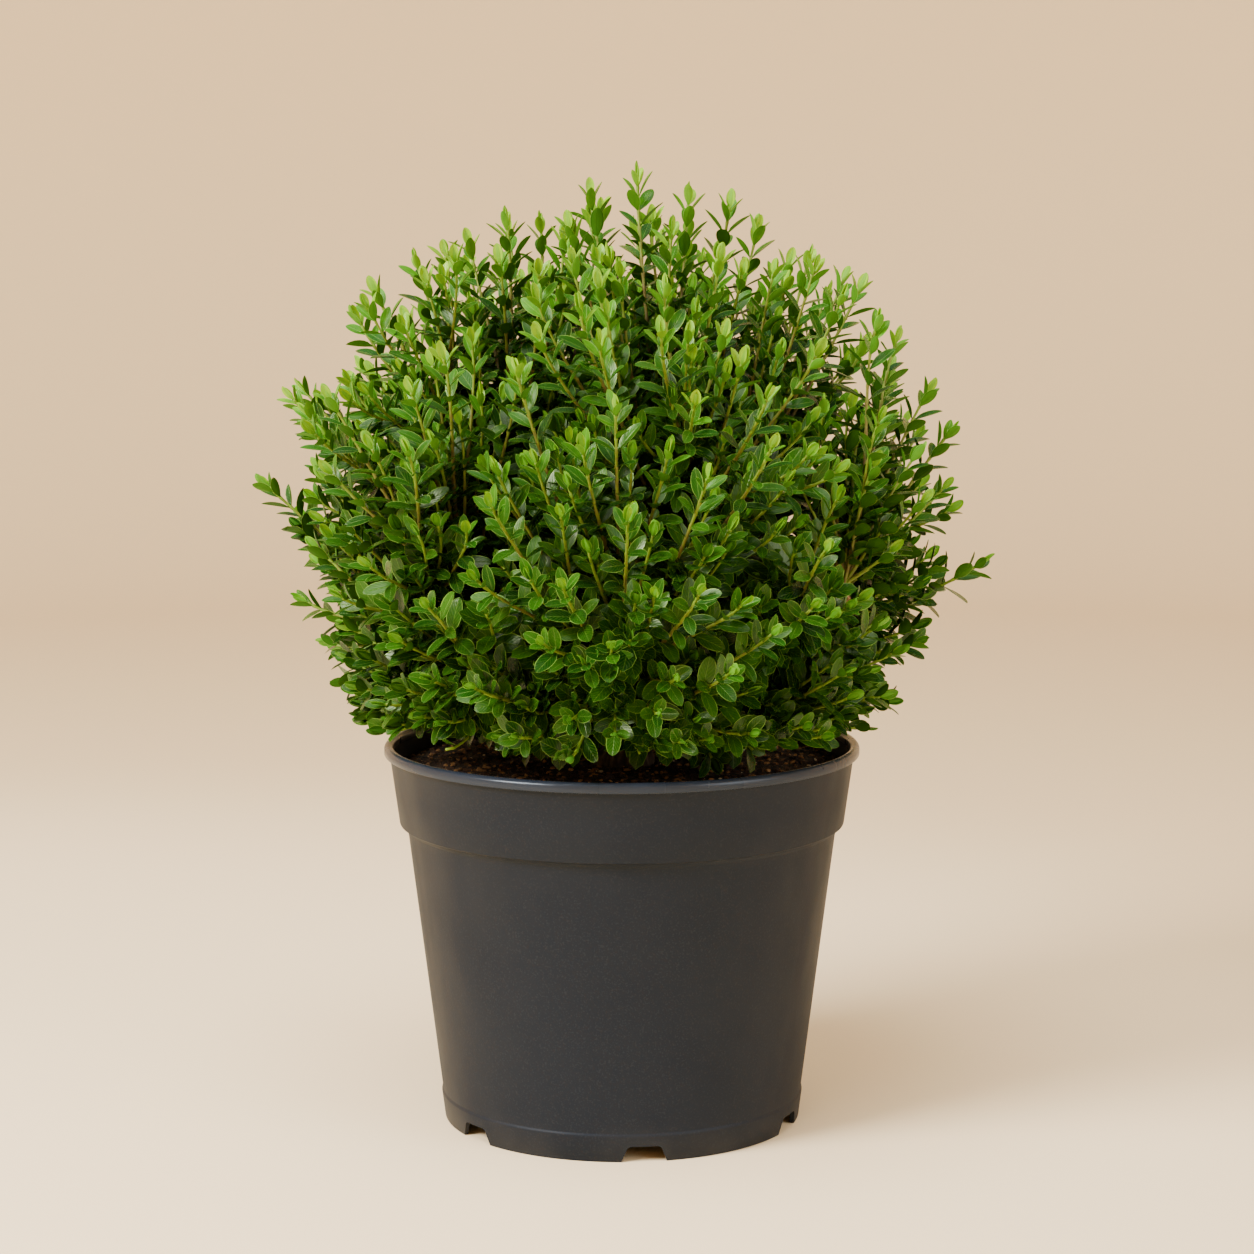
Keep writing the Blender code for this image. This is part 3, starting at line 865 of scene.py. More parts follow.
    def openings(self) -> BMesh:
        """Shapes what is cut away: notches through the foot band, and round drain holes in the floor.

        Returns:
            All the openings.
        """
        bm = bmesh.new()
        start = self.notch_turn - math.pi / 2
        for index in range(self.notch_count):
            self.add_notch(bm, start + math.tau * index / self.notch_count)
        reach = self.base_radius - self.drain_from_foot
        middle = self.floor_rise + self.floor_thickness / 2
        for index in range(self.notch_count):
            angle = start + math.tau * (index + 0.5) / self.notch_count
            spot = (reach * math.cos(angle), reach * math.sin(angle), middle)
            bmesh.ops.create_cone(
                bm, cap_ends=True, segments=self.drain_sides, radius1=self.drain_radius,
                radius2=self.drain_radius, depth=self.floor_thickness * 3, matrix=Matrix.Translation(spot),
            )
        return bm

    def build(self) -> bpy.types.Object:
        """Makes the shell in grained plastic, with a smoother lip whose lighter, bluer colour is a painted
        reflection of the sky.

        Returns:
            The pot.
        """
        bm = turned(self.outline(), self.steps)
        soften(bm, self.edge_rounding, self.sharp_angle)
        bm = carve(bm, self.openings())
        for face in bm.faces:
            face.material_index = int(face.calc_center_median().z > self.lip_lower - self.lip_drop)
        grained = PlasticFinish("pot_body_plastic").make()
        # The lip material's lighter, bluer colour is a painted reflection of the sky.
        smooth = PlasticFinish(
            "pot_lip_plastic_painted_reflection", self.lip_colour_painted_reflection, self.lip_worn_painted_reflection, roughness=self.lip_roughness,
            grain_depth=self.lip_grain, shine=self.lip_shine,
        ).make()
        return piece_from(bm, "pot_shell", [grained, smooth], ("nursery_pot",), crease=38.0)


# ---------------------------------------------------------------- potting mix


@dataclass
class PottingMix:
    """The soil: an uneven crumbly surface with loose crumbs on it."""

    pot: NurseryPot
    gap: float = 0.0003
    mound: float = 0.0025
    roughness: float = 0.0022
    rings: int = 44
    steps: int = 150
    crumb_count: int = 2200
    lump_scales: Range = (70, 190)
    lump_shares: Range = (0.6, 0.4)
    crumb_size: Range = (0.0005, 0.0014)
    grain_size: Range = (0.0004, 0.0008)
    grain_share: float = 0.035
    darkest_grain: float = 0.86
    rim_clearance: float = 0.0035
    sink: float = 0.25
    crumb_roughness: float = 0.35
    seed: int = 11
    level: float = field(init=False)

    def __post_init__(self) -> None:
        """Takes the level from the CAD root crown, which is centred on it."""
        low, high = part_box("root_crown")
        self.level = high.z - (high.x - low.x) / 2

    def height(self, x: float, y: float) -> float:
        """Height of the surface, which is level where it meets the pot.

        Args:
            x: The point's first coordinate.
            y: The second one.

        Returns:
            The height.
        """
        share = math.hypot(x, y) / self.pot.inside_radius(self.level)
        coarse = noise.noise(Vector((x, y, 0.3)) * self.lump_scales[0])
        fine = noise.noise(Vector((x, y, 1.7)) * self.lump_scales[1])
        lumps = coarse * self.lump_shares[0] + fine * self.lump_shares[1]
        rough = self.roughness * lumps * ease((1.0 - share) * 30)
        return self.level + self.mound * math.sin(math.pi * share) + rough

    def build_bed(self, finish: Material) -> bpy.types.Object:
        """Makes the body of soil that fills the pot.

        Args:
            finish: The potting mix material.

        Returns:
            The bed.
        """
        rim = self.pot.inside_radius(self.level) - self.gap
        low = self.pot.floor_rise + self.pot.floor_thickness + self.gap
        inset = self.pot.wall + self.gap
        outline = [(rim * ring / self.rings, self.level) for ring in range(self.rings + 1)]
        outline += [
            (self.pot.collar_top_radius - self.pot.collar_draft - inset, self.pot.collar_lower),
            (self.pot.body_top_radius - inset, self.pot.body_top),
            (self.pot.body_radius(low) - inset, low),
            (0.0, low),
        ]
        bm = turned(outline, self.steps)
        for vert in bm.verts:
            if abs(vert.co.z - self.level) < 1e-6:
                vert.co.z = self.height(vert.co.x, vert.co.y)
        return piece_from(bm, "soil_bed", [finish], ("potting_soil",), crease=60.0)

    def build_crumbs(self, finish: Material) -> bpy.types.Object:
        """Scatters loose crumbs, chips and a few pale grains over the bed.

        Args:
            finish: The crumb material.

        Returns:
            All the crumbs as one piece.
        """
        chance = random.Random(self.seed)
        ball = bmesh.new()
        bmesh.ops.create_icosphere(ball, subdivisions=1, radius=1.0)
        grain = pressed(ball, "grain")
        bm = bmesh.new()
        layer = bm.verts.layers.float.new("tint")
        rim = self.pot.inside_radius(self.level) - self.rim_clearance
        for _ in range(self.crumb_count):
            radius = rim * math.sqrt(chance.uniform(0.03, 1.0))
            angle = chance.uniform(0.0, math.tau)
            x, y = radius * math.cos(angle), radius * math.sin(angle)
            tint = chance.random() * self.darkest_grain
            size = chance.uniform(*self.crumb_size)
            if chance.random() < self.grain_share:
                tint, size = 1.0, chance.uniform(*self.grain_size)
            stretch = Vector((chance.uniform(0.7, 2.1), chance.uniform(0.6, 1.1), chance.uniform(0.4, 0.9)))
            spin = Matrix.Rotation(chance.uniform(0, math.tau), 4, "Z")
            tilt = Matrix.Rotation(chance.uniform(-0.5, 0.5), 4, "X")
            spot = Matrix.Translation((x, y, self.height(x, y) + size * self.sink))
            matrix = spot @ (spin @ tilt) @ Matrix.Diagonal((*(stretch * size), 1.0))
            for vert in append(bm, grain):
                vert[layer] = tint
                vert.co = matrix @ vert.co
                vert.co += noise.noise_vector(vert.co * 900) * size * self.crumb_roughness
        bpy.data.meshes.remove(grain)
        return piece_from(bm, "soil_crumbs", [finish], crease=30.0)


# ---------------------------------------------------------------- the plant


def cad_points(name: str, crown: Vector) -> list[Vector]:
    """The points of a CAD node, nearest to the crown first."""
    return sorted((v.co.copy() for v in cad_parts[name].data.vertices), key=lambda p: (p - crown).length)


@dataclass
class GrowthLines:
    """The lines that the wood follows: up out of the crown, outwards, and up again at the tips."""

    crown: Vector
    upright_share: float = 0.62
    spread_distance: float = 0.120
    tip_lift: float = 0.6

    def opening(self, distance: float) -> float:
        """Share of its full polar angle that a line has reached at a distance from the crown."""
        spread = between(self.upright_share, 1.0, ease(distance / self.spread_distance))
        return spread - self.tip_lift * max(0.0, distance - self.spread_distance)

    def point(self, distance: float, label: Vector) -> Vector:
        """Follows a line.

        Args:
            distance: How far out from the crown.
            label: The line, as a flat vector of its polar angle.

        Returns:
            The point on it.
        """
        polar = label.length * self.opening(distance)
        azimuth = math.atan2(label.y, label.x)
        out = math.sin(polar)
        heading = Vector((out * math.cos(azimuth), out * math.sin(azimuth), math.cos(polar)))
        return self.crown + heading * distance

    def label(self, point: Vector) -> Vector:
        """Finds the line through a point.

        Args:
            point: The point.

        Returns:
            The line's label, as a flat vector of its polar angle.
        """
        offset = point - self.crown
        polar = offset.angle(UP) / self.opening(offset.length)
        azimuth = math.atan2(offset.y, offset.x)
        return Vector((polar * math.cos(azimuth), polar * math.sin(azimuth)))


@dataclass(frozen=True)
class LeafForm:
    """One shape of leaf, one metre long until it is placed."""

    slenderness: float = 2.1
    fullness: float = 0.8
    fold: float = 0.30
    recurve: float = 0.10
    twist: float = 0.0
    thickness: float = 0.018
    shift: float = 1.12
    stalk_width: float = 0.10
    columns: int = 2
    rows: int = 9

    def outline(self, along: float) -> float:
        """Half the leaf's width, widest a little past its middle, with a short stalk.

        Args:
            along: The share of the leaf's length.

        Returns:
            The half width.
        """
        shifted = along ** self.shift
        bulge = (4.0 * shifted * max(0.0, 1.0 - shifted)) ** self.fullness
        stalk = self.stalk_width * max(0.0, 1.0 - along * 6.0)
        return (bulge * between(0.55, 1.0, ease(along * 4.0)) + stalk) * 0.5 / self.slenderness

    def build(self, name: str) -> bpy.types.Mesh:
        """Shapes a flat grid into a leaf with two closed skins that meet at its margin.

        Args:
            name: The mesh's name.

        Returns:
            The leaf, with its map and with the side of its skins on its points.
        """
        bm = bmesh.new()
        bm.loops.layers.uv.new("LeafMap")
        side = bm.verts.layers.float.new("side")
        bm.verts.layers.float.new("age")
        bm.verts.layers.float.new("tint")
        bmesh.ops.create_grid(bm, x_segments=self.columns, y_segments=self.rows, size=0.5, calc_uvs=True)
        for edge in bm.edges:
            edge.smooth = not edge.is_boundary
        rims = {vert for vert in bm.verts if vert.is_boundary}
        for vert in bm.verts:
            vert[side] = 0.5 if vert in rims else 1.0
        copy = bmesh.ops.duplicate(bm, geom=list(bm.faces))["geom"]
        lower = [item for item in copy if isinstance(item, bmesh.types.BMFace)]
        bmesh.ops.reverse_faces(bm, faces=lower)
        for vert in {vert for face in lower for vert in face.verts}:
            vert[side] = 0.5 if vert[side] < 0.75 else 0.0
        for vert in bm.verts:
            row = vert.co.y + 0.5
            along = between(row, 0.5 - 0.5 * math.cos(math.pi * row), 0.8)
            vert.co = self.shaped(vert.co.x * 2.0, along, vert[side] - 0.5)
        bmesh.ops.remove_doubles(bm, verts=bm.verts, dist=1e-4)
        return pressed(bm, name)

    def shaped(self, across: float, along: float, skin: float) -> Vector:
        """Where a point of the flat leaf goes.

        Args:
            across: From -1 to 1 over the leaf's width.
            along: From 0 at the stalk to 1 at the point.
            skin: 0.5 on the upper skin, -0.5 on the lower one and 0 at the margin.

        Returns:
            The point on the shaped leaf.
        """
        half = self.outline(along)
        x = across * half
        z = self.fold * (abs(across) ** 1.4) * half - self.recurve * along * along
        z += self.thickness * skin * (1.0 - 0.4 * abs(across))
        angle = self.twist * along
        cos, sin = math.cos(angle), math.sin(angle)
        return Vector((x * cos - z * sin, along, x * sin + z * cos))


class LeafPress:
    """Keeps the ready-made leaf shapes of each age."""

    FORMS = {
        Age.BUD: (LeafForm(2.1, 0.60, 0.60, -0.14), LeafForm(2.3, 0.64, 0.65, -0.18)),
        Age.YOUNG: (
            LeafForm(2.6, 0.76, 0.42, 0.02, 0.10), LeafForm(2.45, 0.72, 0.36, 0.06, -0.12),
            LeafForm(2.75, 0.76, 0.40, 0.0),
        ),
        Age.GROWN: (
            LeafForm(2.55, 0.72, 0.30, 0.08, 0.15), LeafForm(2.35, 0.66, 0.24, 0.12, -0.12),
            LeafForm(2.65, 0.74, 0.36, 0.04, -0.05), LeafForm(2.45, 0.70, 0.20, 0.15, 0.06),
        ),
        Age.SKIRT: (
            LeafForm(1.95, 0.56, 0.20, 0.10, 0.1), LeafForm(2.05, 0.58, 0.26, 0.06, -0.1),
            LeafForm(2.15, 0.60, 0.16, 0.12),
        ),
        Age.SHADE: (LeafForm(1.8, 0.56, 0.24, 0.12, rows=4), LeafForm(1.9, 0.60, 0.30, 0.06, rows=4)),
    }

    def __init__(self) -> None:
        """Presses every form once."""
        self.meshes = {
            age: [form.build(f"leaf_{age.value}_{index}") for index, form in enumerate(forms)]
            for age, forms in self.FORMS.items()
        }

    def add(self, bm: BMesh, stage: Age, matrix: Matrix, age: float, tint: float, pick: int) -> None:
        """Adds one leaf to a shoot.

        Args:
            bm: The shoot's shape.
            stage: The leaf's stage.
            matrix: Its place, turn and size.
            age: Its age from 0 to 1.
            tint: Its own shade from 0 to 1.
            pick: Which form of the stage is used.
        """
        forms = self.meshes[stage]
        fresh = append(bm, forms[pick % len(forms)], finish=1)
        ages, tints = bm.verts.layers.float["age"], bm.verts.layers.float["tint"]
        for vert in fresh:
            vert.co = matrix @ vert.co
            vert[ages] = age
            vert[tints] = tint

    def clear(self) -> None:
        """Drops the pressed meshes."""
        for meshes in self.meshes.values():
            for mesh in meshes:
                bpy.data.meshes.remove(mesh)


@dataclass
class Twig:
    """One leafy twig: where it starts and ends in growth-line terms, and how it is dressed."""

    start: float
    end: float
    start_label: Vector
    end_label: Vector
    base: Vector
    foot_radius: float
    tip_radius: float
    leafy_length: float
    oldest: float = 1.0
    youngest: float = 0.0

    def label_at(self, distance: float) -> Vector:
        """The growth line that the twig is on at a distance from the crown."""
        share = inside((distance - self.start) / (self.end - self.start))
        return self.start_label.lerp(self.end_label, 1.0 - (1.0 - share) ** 1.5)

    def route(self, lines: GrowthLines, steps: int) -> list[Vector]:
        """Lays the middle line from inside the parent to the end.

        Args:
            lines: The growth lines.
            steps: How many points it has after its base.

        Returns:
            The line's points.
        """
        points = [self.base]
        for step in range(1, steps + 1):
            distance = between(self.start, self.end, step / steps)
            points.append(lines.point(distance, self.label_at(distance)))
        return points


class Canopy:
    """Plans every twig of the bush from the CAD shoots, and fills the dome between them."""

    DOME_LIMIT = ((0, 0.310), (50, 0.245), (60, 0.200), (66, 0.168), (73, 0.152), (80, 0.138), (100, 0.120))
    MAIN_RADII = (0.00125, 0.00072)
    SIDE_RADII = (0.00105, 0.00065)
    MAIN_LEAFY_LENGTH = 0.160
    TIP_LEAF = 0.0100
    LEAST_SIDE_LENGTH = 0.026
    FORK_BELOW_TIP = 0.055
    RIM_CLEARANCE = (0.010, 0.034)

    def __init__(
        self, lines: GrowthLines, stems: list["WoodyStem"], pot: NurseryPot, seed: int = 5,
    ) -> None:
        """Reads the CAD shoots.

        Args:
            lines: The growth lines.
            stems: The woody stems.
            pot: The pot, whose rim the twigs stay clear of.
            seed: The seed of every choice.
        """
        self.lines = lines
        self.rim_height, self.rim_radius = pot.height, pot.rim_radius
        self.stems = stems
        self.chance = random.Random(seed)
        self.shoots: dict[str, list[Twig]] = {}
        self.tips: list[tuple[Vector, float, str]] = []
        for name in sorted(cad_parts):
            if name.startswith("shoot_"):
                self.read_shoot(name)

    def read_shoot(self, name: str) -> None:
        """Finds a CAD shoot's foot and tip, and lays its main twig between them.

        Args:
            name: The CAD shoot's node.
        """
        crown = self.lines.crown
        spots = cad_points(name, crown)
        foot = sum(spots[:4], Vector()) / 4
        farthest = spots[-1]
        partner = next(p for p in reversed(spots) if (p - farthest).length > 0.004)
        tip_label = self.lines.label((farthest + partner) / 2)
        foot_label = self.lines.label(foot)
        reach = (farthest - crown).length - self.TIP_LEAF
        start = (foot - crown).length
        stem = min(self.stems, key=lambda item: (item.label - foot_label).length)
        base = stem.axis(max(start - 0.004, stem.foot))
        self.shoots[name] = [Twig(
            start, reach, foot_label, tip_label, base, *self.MAIN_RADII, self.MAIN_LEAFY_LENGTH,
            youngest=0.24 * ease((tip_label.length - 0.7) / 0.5),
        )]
        self.tips.append((tip_label, reach, name))

    def dome_limit(self, polar: float) -> float:
        """The farthest that any side twig reaches.

        Args:
            polar: The angle from straight up, in degrees.

        Returns:
            The distance from the crown.
        """
        for (low, near), (high, far) in zip(self.DOME_LIMIT, self.DOME_LIMIT[1:]):
            if polar <= high:
                return between(near, far, (polar - low) / (high - low))
        return self.DOME_LIMIT[-1][1]

    def reach_towards(self, label: Vector) -> float:
        """How far the dome reaches along a growth line, from the main tips round it.

        Args:
            label: The line.

        Returns:
            The distance from the crown.
        """
        near = sorted((tip_label - label).length for tip_label, _, _ in self.tips)[3]
        total = weight_sum = 0.0
        for tip_label, reach, _ in self.tips:
            weight = max(0.0, 1.0 - (tip_label - label).length / (near * 1.3)) ** 2
            total += weight * reach
            weight_sum += weight
        return min(total / weight_sum, self.dome_limit(math.degrees(label.length) * 0.96))

    def depth(self, spot: Vector) -> float:
        """How deep a point lies inside the dome.

        Args:
            spot: The point.

        Returns:
            0 near the dome's outside, up to 1 well inside.
        """
        offset = spot - self.lines.crown
        limit = self.dome_limit(math.degrees(offset.angle(UP)))
        return ease((0.80 - offset.length / limit) / 0.35)

    def fill(
        self, count: int, spacing: float, share: Range, leafy: float, ages: Range, widest: float,
        narrowest: float = 0.0,
    ) -> None:
        """Adds side twigs evenly over the dome, wherever no tip is near.

        Args:
            count: How many places are tried.
            spacing: The least angle to any other tip, in degrees.
            share: Lowest and highest share of the dome's reach.
            leafy: Leafy length.
            ages: Age of the youngest and the oldest leaves.
            widest: The largest polar angle, in degrees.
            narrowest: The smallest one, in degrees.
        """
        taken = [label for label, _, _ in self.tips] if spacing else []
        least = math.radians(spacing)
        low, high = math.cos(math.radians(narrowest)), math.cos(math.radians(widest))
        for index in range(count):
            polar = math.acos(between(low, high, (index + 0.5) / count))
            azimuth = index * GOLDEN_ANGLE + self.chance.uniform(-0.25, 0.25)
            polar *= self.chance.uniform(0.95, 1.05)
            label = Vector((polar * math.cos(azimuth), polar * math.sin(azimuth)))
            if any((label - other).length < least for other in taken):
                continue
            taken.append(label)
            youngest = ages[0] + 0.22 * ease((polar - 0.6) / 0.6) + self.chance.uniform(0.0, 0.12)
            reach = self.reach_towards(label) * self.chance.uniform(*share)
            self.add_side_twig(label, reach, leafy, (youngest, ages[1]))

    def add_side_twig(self, label: Vector, reach: float, leafy: float, ages: Range) -> None:
        """Grows a side twig from the nearest main twig, unless it would be too short or meet the rim.

        Args:
            label: The growth line that it ends on.
            reach: The distance of its end from the crown.
            leafy: Leafy length.
            ages: Age of the youngest and the oldest leaves.
        """
        _, _, name = min(self.tips, key=lambda tip: (tip[0] - label).length)
        parent = self.shoots[name][0]
        start = between(parent.start, parent.end, self.chance.uniform(0.10, 0.45))
        start = max(min(start, reach - self.FORK_BELOW_TIP), parent.start + 0.004)
        end = self.lines.point(reach, label)
        above, within = self.RIM_CLEARANCE
        at_rim = end.z < self.rim_height + above and math.hypot(end.x, end.y) > self.rim_radius - within
        if at_rim or reach - start < self.LEAST_SIDE_LENGTH:
            return
        base = self.lines.point(start - 0.003, parent.label_at(start - 0.003))
        self.shoots[name].append(Twig(
            start, reach, parent.label_at(start), label, base, *self.SIDE_RADII, leafy,
            oldest=ages[1], youngest=ages[0],
        ))


@dataclass
class LeafyShoots:
    """Dresses the planned twigs with leaves, one piece for each CAD shoot."""

    lines: GrowthLines
    canopy: Canopy
    pot: NurseryPot
    soil_level: float
    first_gap: float = 0.0006
    pair_gap: float = 0.0024
    widest_gap: float = 0.0072
    bud_length: float = 0.0094
    grown_length: float = 0.0154
    closed_angle: float = math.radians(6.0)
    open_angle: float = math.radians(60.0)
    first_opening: float = 0.48
    pairs_to_open: int = 7
    pairs_to_grow: int = 4
    gap_growth: float = 0.0022
    bare_foot: float = 0.012
    shade_growth: float = 1.12
    shaded_from: float = 0.45
    crowding: float = 0.0025
    crowding_cell: float = 0.006
    facing: float = 0.72
    soil_clearance: float = 0.004
    rim_clearance: Range = (0.012, 0.030)
    # The next three numbers age leaves deep inside or low down; older leaves are drawn darker, so this is
    # painted shade.
    deep_painted_shade: float = 0.35
    low_painted_shade: float = 0.62
    low_shade_zone: float = 0.066
    skirt_zone: Range = (0.030, 0.090)
    top_ageing: Range = (0.14, -0.10)
    top_zone: Range = (0.08, 0.17)
    joint_swell: float = 1.30
    joint_shape: Triple = (-0.0017, -0.0002, 0.0014)
    wood_sides: int = 6
    wood_ageing_length: float = 0.16
    step_length: float = 0.007
    plain_from: float = 0.28
    seed: int = 23

    def __post_init__(self) -> None:
        """Gets the leaf shapes, the chances and the map of placed leaves ready."""
        self.press = LeafPress()
        self.chance = random.Random(self.seed)
        self.placed: dict[tuple[int, int, int], list[Vector]] = {}
        self.leaf_count = 0

    def crowded(self, spot: Vector) -> bool:
        """Whether another leaf's middle is too near, and notes this one if not.

        Args:
            spot: The leaf's middle.

        Returns:
            True if it is crowded.
        """
        key = tuple(math.floor(value / self.crowding_cell) for value in spot)
        for dx, dy, dz in product((-1, 0, 1), repeat=3):
            for other in self.placed.get((key[0] + dx, key[1] + dy, key[2] + dz), ()):
                if (other - spot).length < self.crowding:
                    return True
        self.placed.setdefault(key, []).append(spot)
        return False

    def blocked(self, spots: tuple[Vector, ...]) -> bool:
        """Whether any point would be in the pot's rim or in the soil.

        Args:
            spots: The points.

        Returns:
            True if one of them is.
        """
        floor = self.soil_level + self.soil_clearance
        top, edge = self.pot.height + self.rim_clearance[0], self.pot.rim_radius - self.rim_clearance[1]
        return any(
            spot.z < floor or (spot.z < top and math.hypot(spot.x, spot.y) > edge) for spot in spots
        )

    def facing_out(self, out: Vector, face: Vector, spot: Vector, share: float) -> Vector:
        """Rolls a leaf about its own length so that its upper skin turns to the light outside the bush.

        Args:
            out: The leaf's direction.
            face: The way its upper skin looks as it leaves the twig.
            spot: Where it is.
            share: How far it turns, from 0 to 1.

        Returns:
            The new way that its upper skin looks.
        """
        outwards = Vector((spot.x, spot.y, 0.6 * (spot.z - self.soil_level - 0.02))).normalized()
        light = outwards + UP * 0.55
        wanted = light - out * light.dot(out)
        if wanted.length < 0.2:
            return face
        wanted.normalize()
        rolled = face.lerp(wanted, share)
        if rolled.length < 0.2:
            return face
        return (rolled - out * rolled.dot(out)).normalized()

    def opening(self, pair: int) -> float:
        """How far a pair has opened.

        Args:
            pair: 0 at the bud, and one more for each pair below it.

        Returns:
            0 for the closed bud, up to 1.
        """
        if pair == 0:
            return 0.0
        share = min(1.0, (pair - 1) / (self.pairs_to_open - 1))
        return between(self.first_opening, 1.0, share ** 0.8)

    def leaf_age(self, middle: Vector, rank: float, pair: int, twig: Twig) -> float:
        """Ages a leaf with its rank, and more where it is deep inside the bush or low down, which darkens
        those leaves as painted shade.

        Args:
            middle: The leaf's middle.
            rank: How far down the twig it is, from 0 to 1.
            pair: Its pair's number.
            twig: The twig that carries it.

        Returns:
            The age from 0 to 1.
        """
        height = middle.z - self.pot.height
        age = between(twig.youngest, twig.oldest, rank ** 0.9) + self.chance.gauss(0.0, 0.05)
        # Painted shade: the deeper inside the dome a leaf is, the more it is aged, so it is drawn darker.
        age += self.deep_painted_shade * self.canopy.depth(middle)
        # Painted shade: leaves low down, under the canopy near the rim and soil, are aged so they are drawn
        # darker.
        age += self.low_painted_shade * ease((self.low_shade_zone - height) / self.low_shade_zone)
        age += between(*self.top_ageing, ease((height - self.top_zone[0]) / self.top_zone[1]))
        if pair == 0 and twig.youngest < self.shaded_from:
            age *= 0.45
        return inside(age)

    def stage(self, middle: Vector, pair: int, twig: Twig) -> Age:
        """Picks a leaf's stage.

        Args:
            middle: The leaf's middle.
            pair: Its pair's number.
            twig: The twig that carries it.

        Returns:
            The stage.
        """
        if pair == 0:
            return Age.BUD
        if twig.youngest > self.shaded_from:
            return Age.SHADE
        low, spread = self.skirt_zone
        if middle.z < self.pot.height + low + self.chance.uniform(0.0, spread):
            return Age.SKIRT
        return Age.YOUNG if pair < self.pairs_to_grow else Age.GROWN

    def add_leaf(
        self, bm: BMesh, seat: Vector, along: Vector, away: Vector, pair: int, twig: Twig,
    ) -> None:
        """Places one leaf of a pair.

        Args:
            bm: The shoot's shape.
            seat: Where its stalk leaves the twig.
            along: The twig's direction there.
            away: The leaf's side of the twig.
            pair: 0 at the bud, and one more for each pair below it.
            twig: The twig that carries it.
        """
        chance = self.chance
        rank = min(1.0, pair / self.pairs_to_open)
        angle = between(self.closed_angle, self.open_angle, self.opening(pair))
        angle += chance.gauss(0.0, 0.09) * (0.4 if pair == 0 else 1.0)
        length = between(self.bud_length, self.grown_length, min(1.0, pair / self.pairs_to_grow) ** 0.8)
        shaded = twig.youngest > self.shaded_from
        length *= chance.uniform(0.86, 1.14) * (self.shade_growth if shaded else 1.0)
        out = (along * math.cos(angle) + away * math.sin(angle)).normalized()
        out = (Matrix.Rotation(chance.gauss(0.0, 0.10), 3, along) @ out).normalized()
        face = along * math.sin(angle) - away * math.cos(angle)
        face = (face - out * face.dot(out)).normalized()
        middle, end = seat + out * length * 0.5, seat + out * length
        if self.blocked((middle, end)) or (pair > 1 and self.crowded(middle)):
            return
        if pair > 0:
            face = self.facing_out(out, face, middle, self.facing * min(1.0, 0.35 + rank))
            face = (Matrix.Rotation(chance.gauss(0.0, 0.20), 3, out) @ face).normalized()
        age = self.leaf_age(middle, rank, pair, twig)
        stage = self.stage(middle, pair, twig)
        turn = Matrix((out.cross(face), out, face)).transposed().to_4x4()
        matrix = turn @ Matrix.Diagonal((length, length, length, 1.0))
        matrix.translation = seat
        self.press.add(bm, stage, matrix, age, chance.random(), chance.randrange(12))
        self.leaf_count += 1

    def pair_marks(self, length: float, leafy: float) -> list[float]:
        """Spaces the leaf pairs, close at the bud and wider down the twig.

        Args:
            length: The twig's length.
            leafy: How much of it carries leaves.

        Returns:
            The pairs' distances back from the twig's end.
        """
        marks, back, gap = [], self.first_gap, self.pair_gap
        while back < min(leafy, length - self.bare_foot):
            marks.append(back)
            back += gap * self.chance.uniform(0.92, 1.08)
            gap = min(self.widest_gap, gap + self.gap_growth)
        return marks

    @staticmethod
    def find(marks: list[float], mark: float) -> tuple[int, float]:
        """Finds the stretch of a route that holds a mark.

        Args:
            marks: How far along the route each of its points is.
            mark: The mark.

        Returns:
            The number of the stretch's far point, and the mark's share of the stretch.
        """
        upper = next(index for index, value in enumerate(marks) if index and value >= mark)
        return upper, (mark - marks[upper - 1]) / (marks[upper] - marks[upper - 1])

    def draw_wood(
        self, bm: BMesh, route: list[Vector], marks: list[float], radii: list[float], joints: list[float],
    ) -> None:
        """Draws a twig's wood, a little thicker where each pair of leaves leaves it.

        Args:
            bm: The shoot's shape.
            route: The twig's middle line.
            marks: How far along it each of its points is.
            radii: The plain radius at each of its points.
            joints: How far along it the leaf pairs are.
        """
        stops = {mark: 1.0 for mark in marks[:1] + marks[-1:]}
        for joint in joints:
            for shift, swell in zip(self.joint_shape, (1.0, self.joint_swell, 0.96)):
                if marks[0] < joint + shift < marks[-1] - 0.0006:
                    stops[joint + shift] = swell
        for mark in marks[1:-1]:
            if all(abs(mark - stop) > 0.0025 for stop in stops):
                stops[mark] = 1.0
        line, thickness = [], []
        for stop in sorted(stops):
            upper, share = self.find(marks, stop)
            line.append(route[upper - 1].lerp(route[upper], share))
            thickness.append(between(radii[upper - 1], radii[upper], share) * stops[stop])
        ages = [min(1.0, (marks[-1] - stop) / self.wood_ageing_length) for stop in sorted(stops)]
        tube(bm, line, thickness, self.wood_sides, ages)

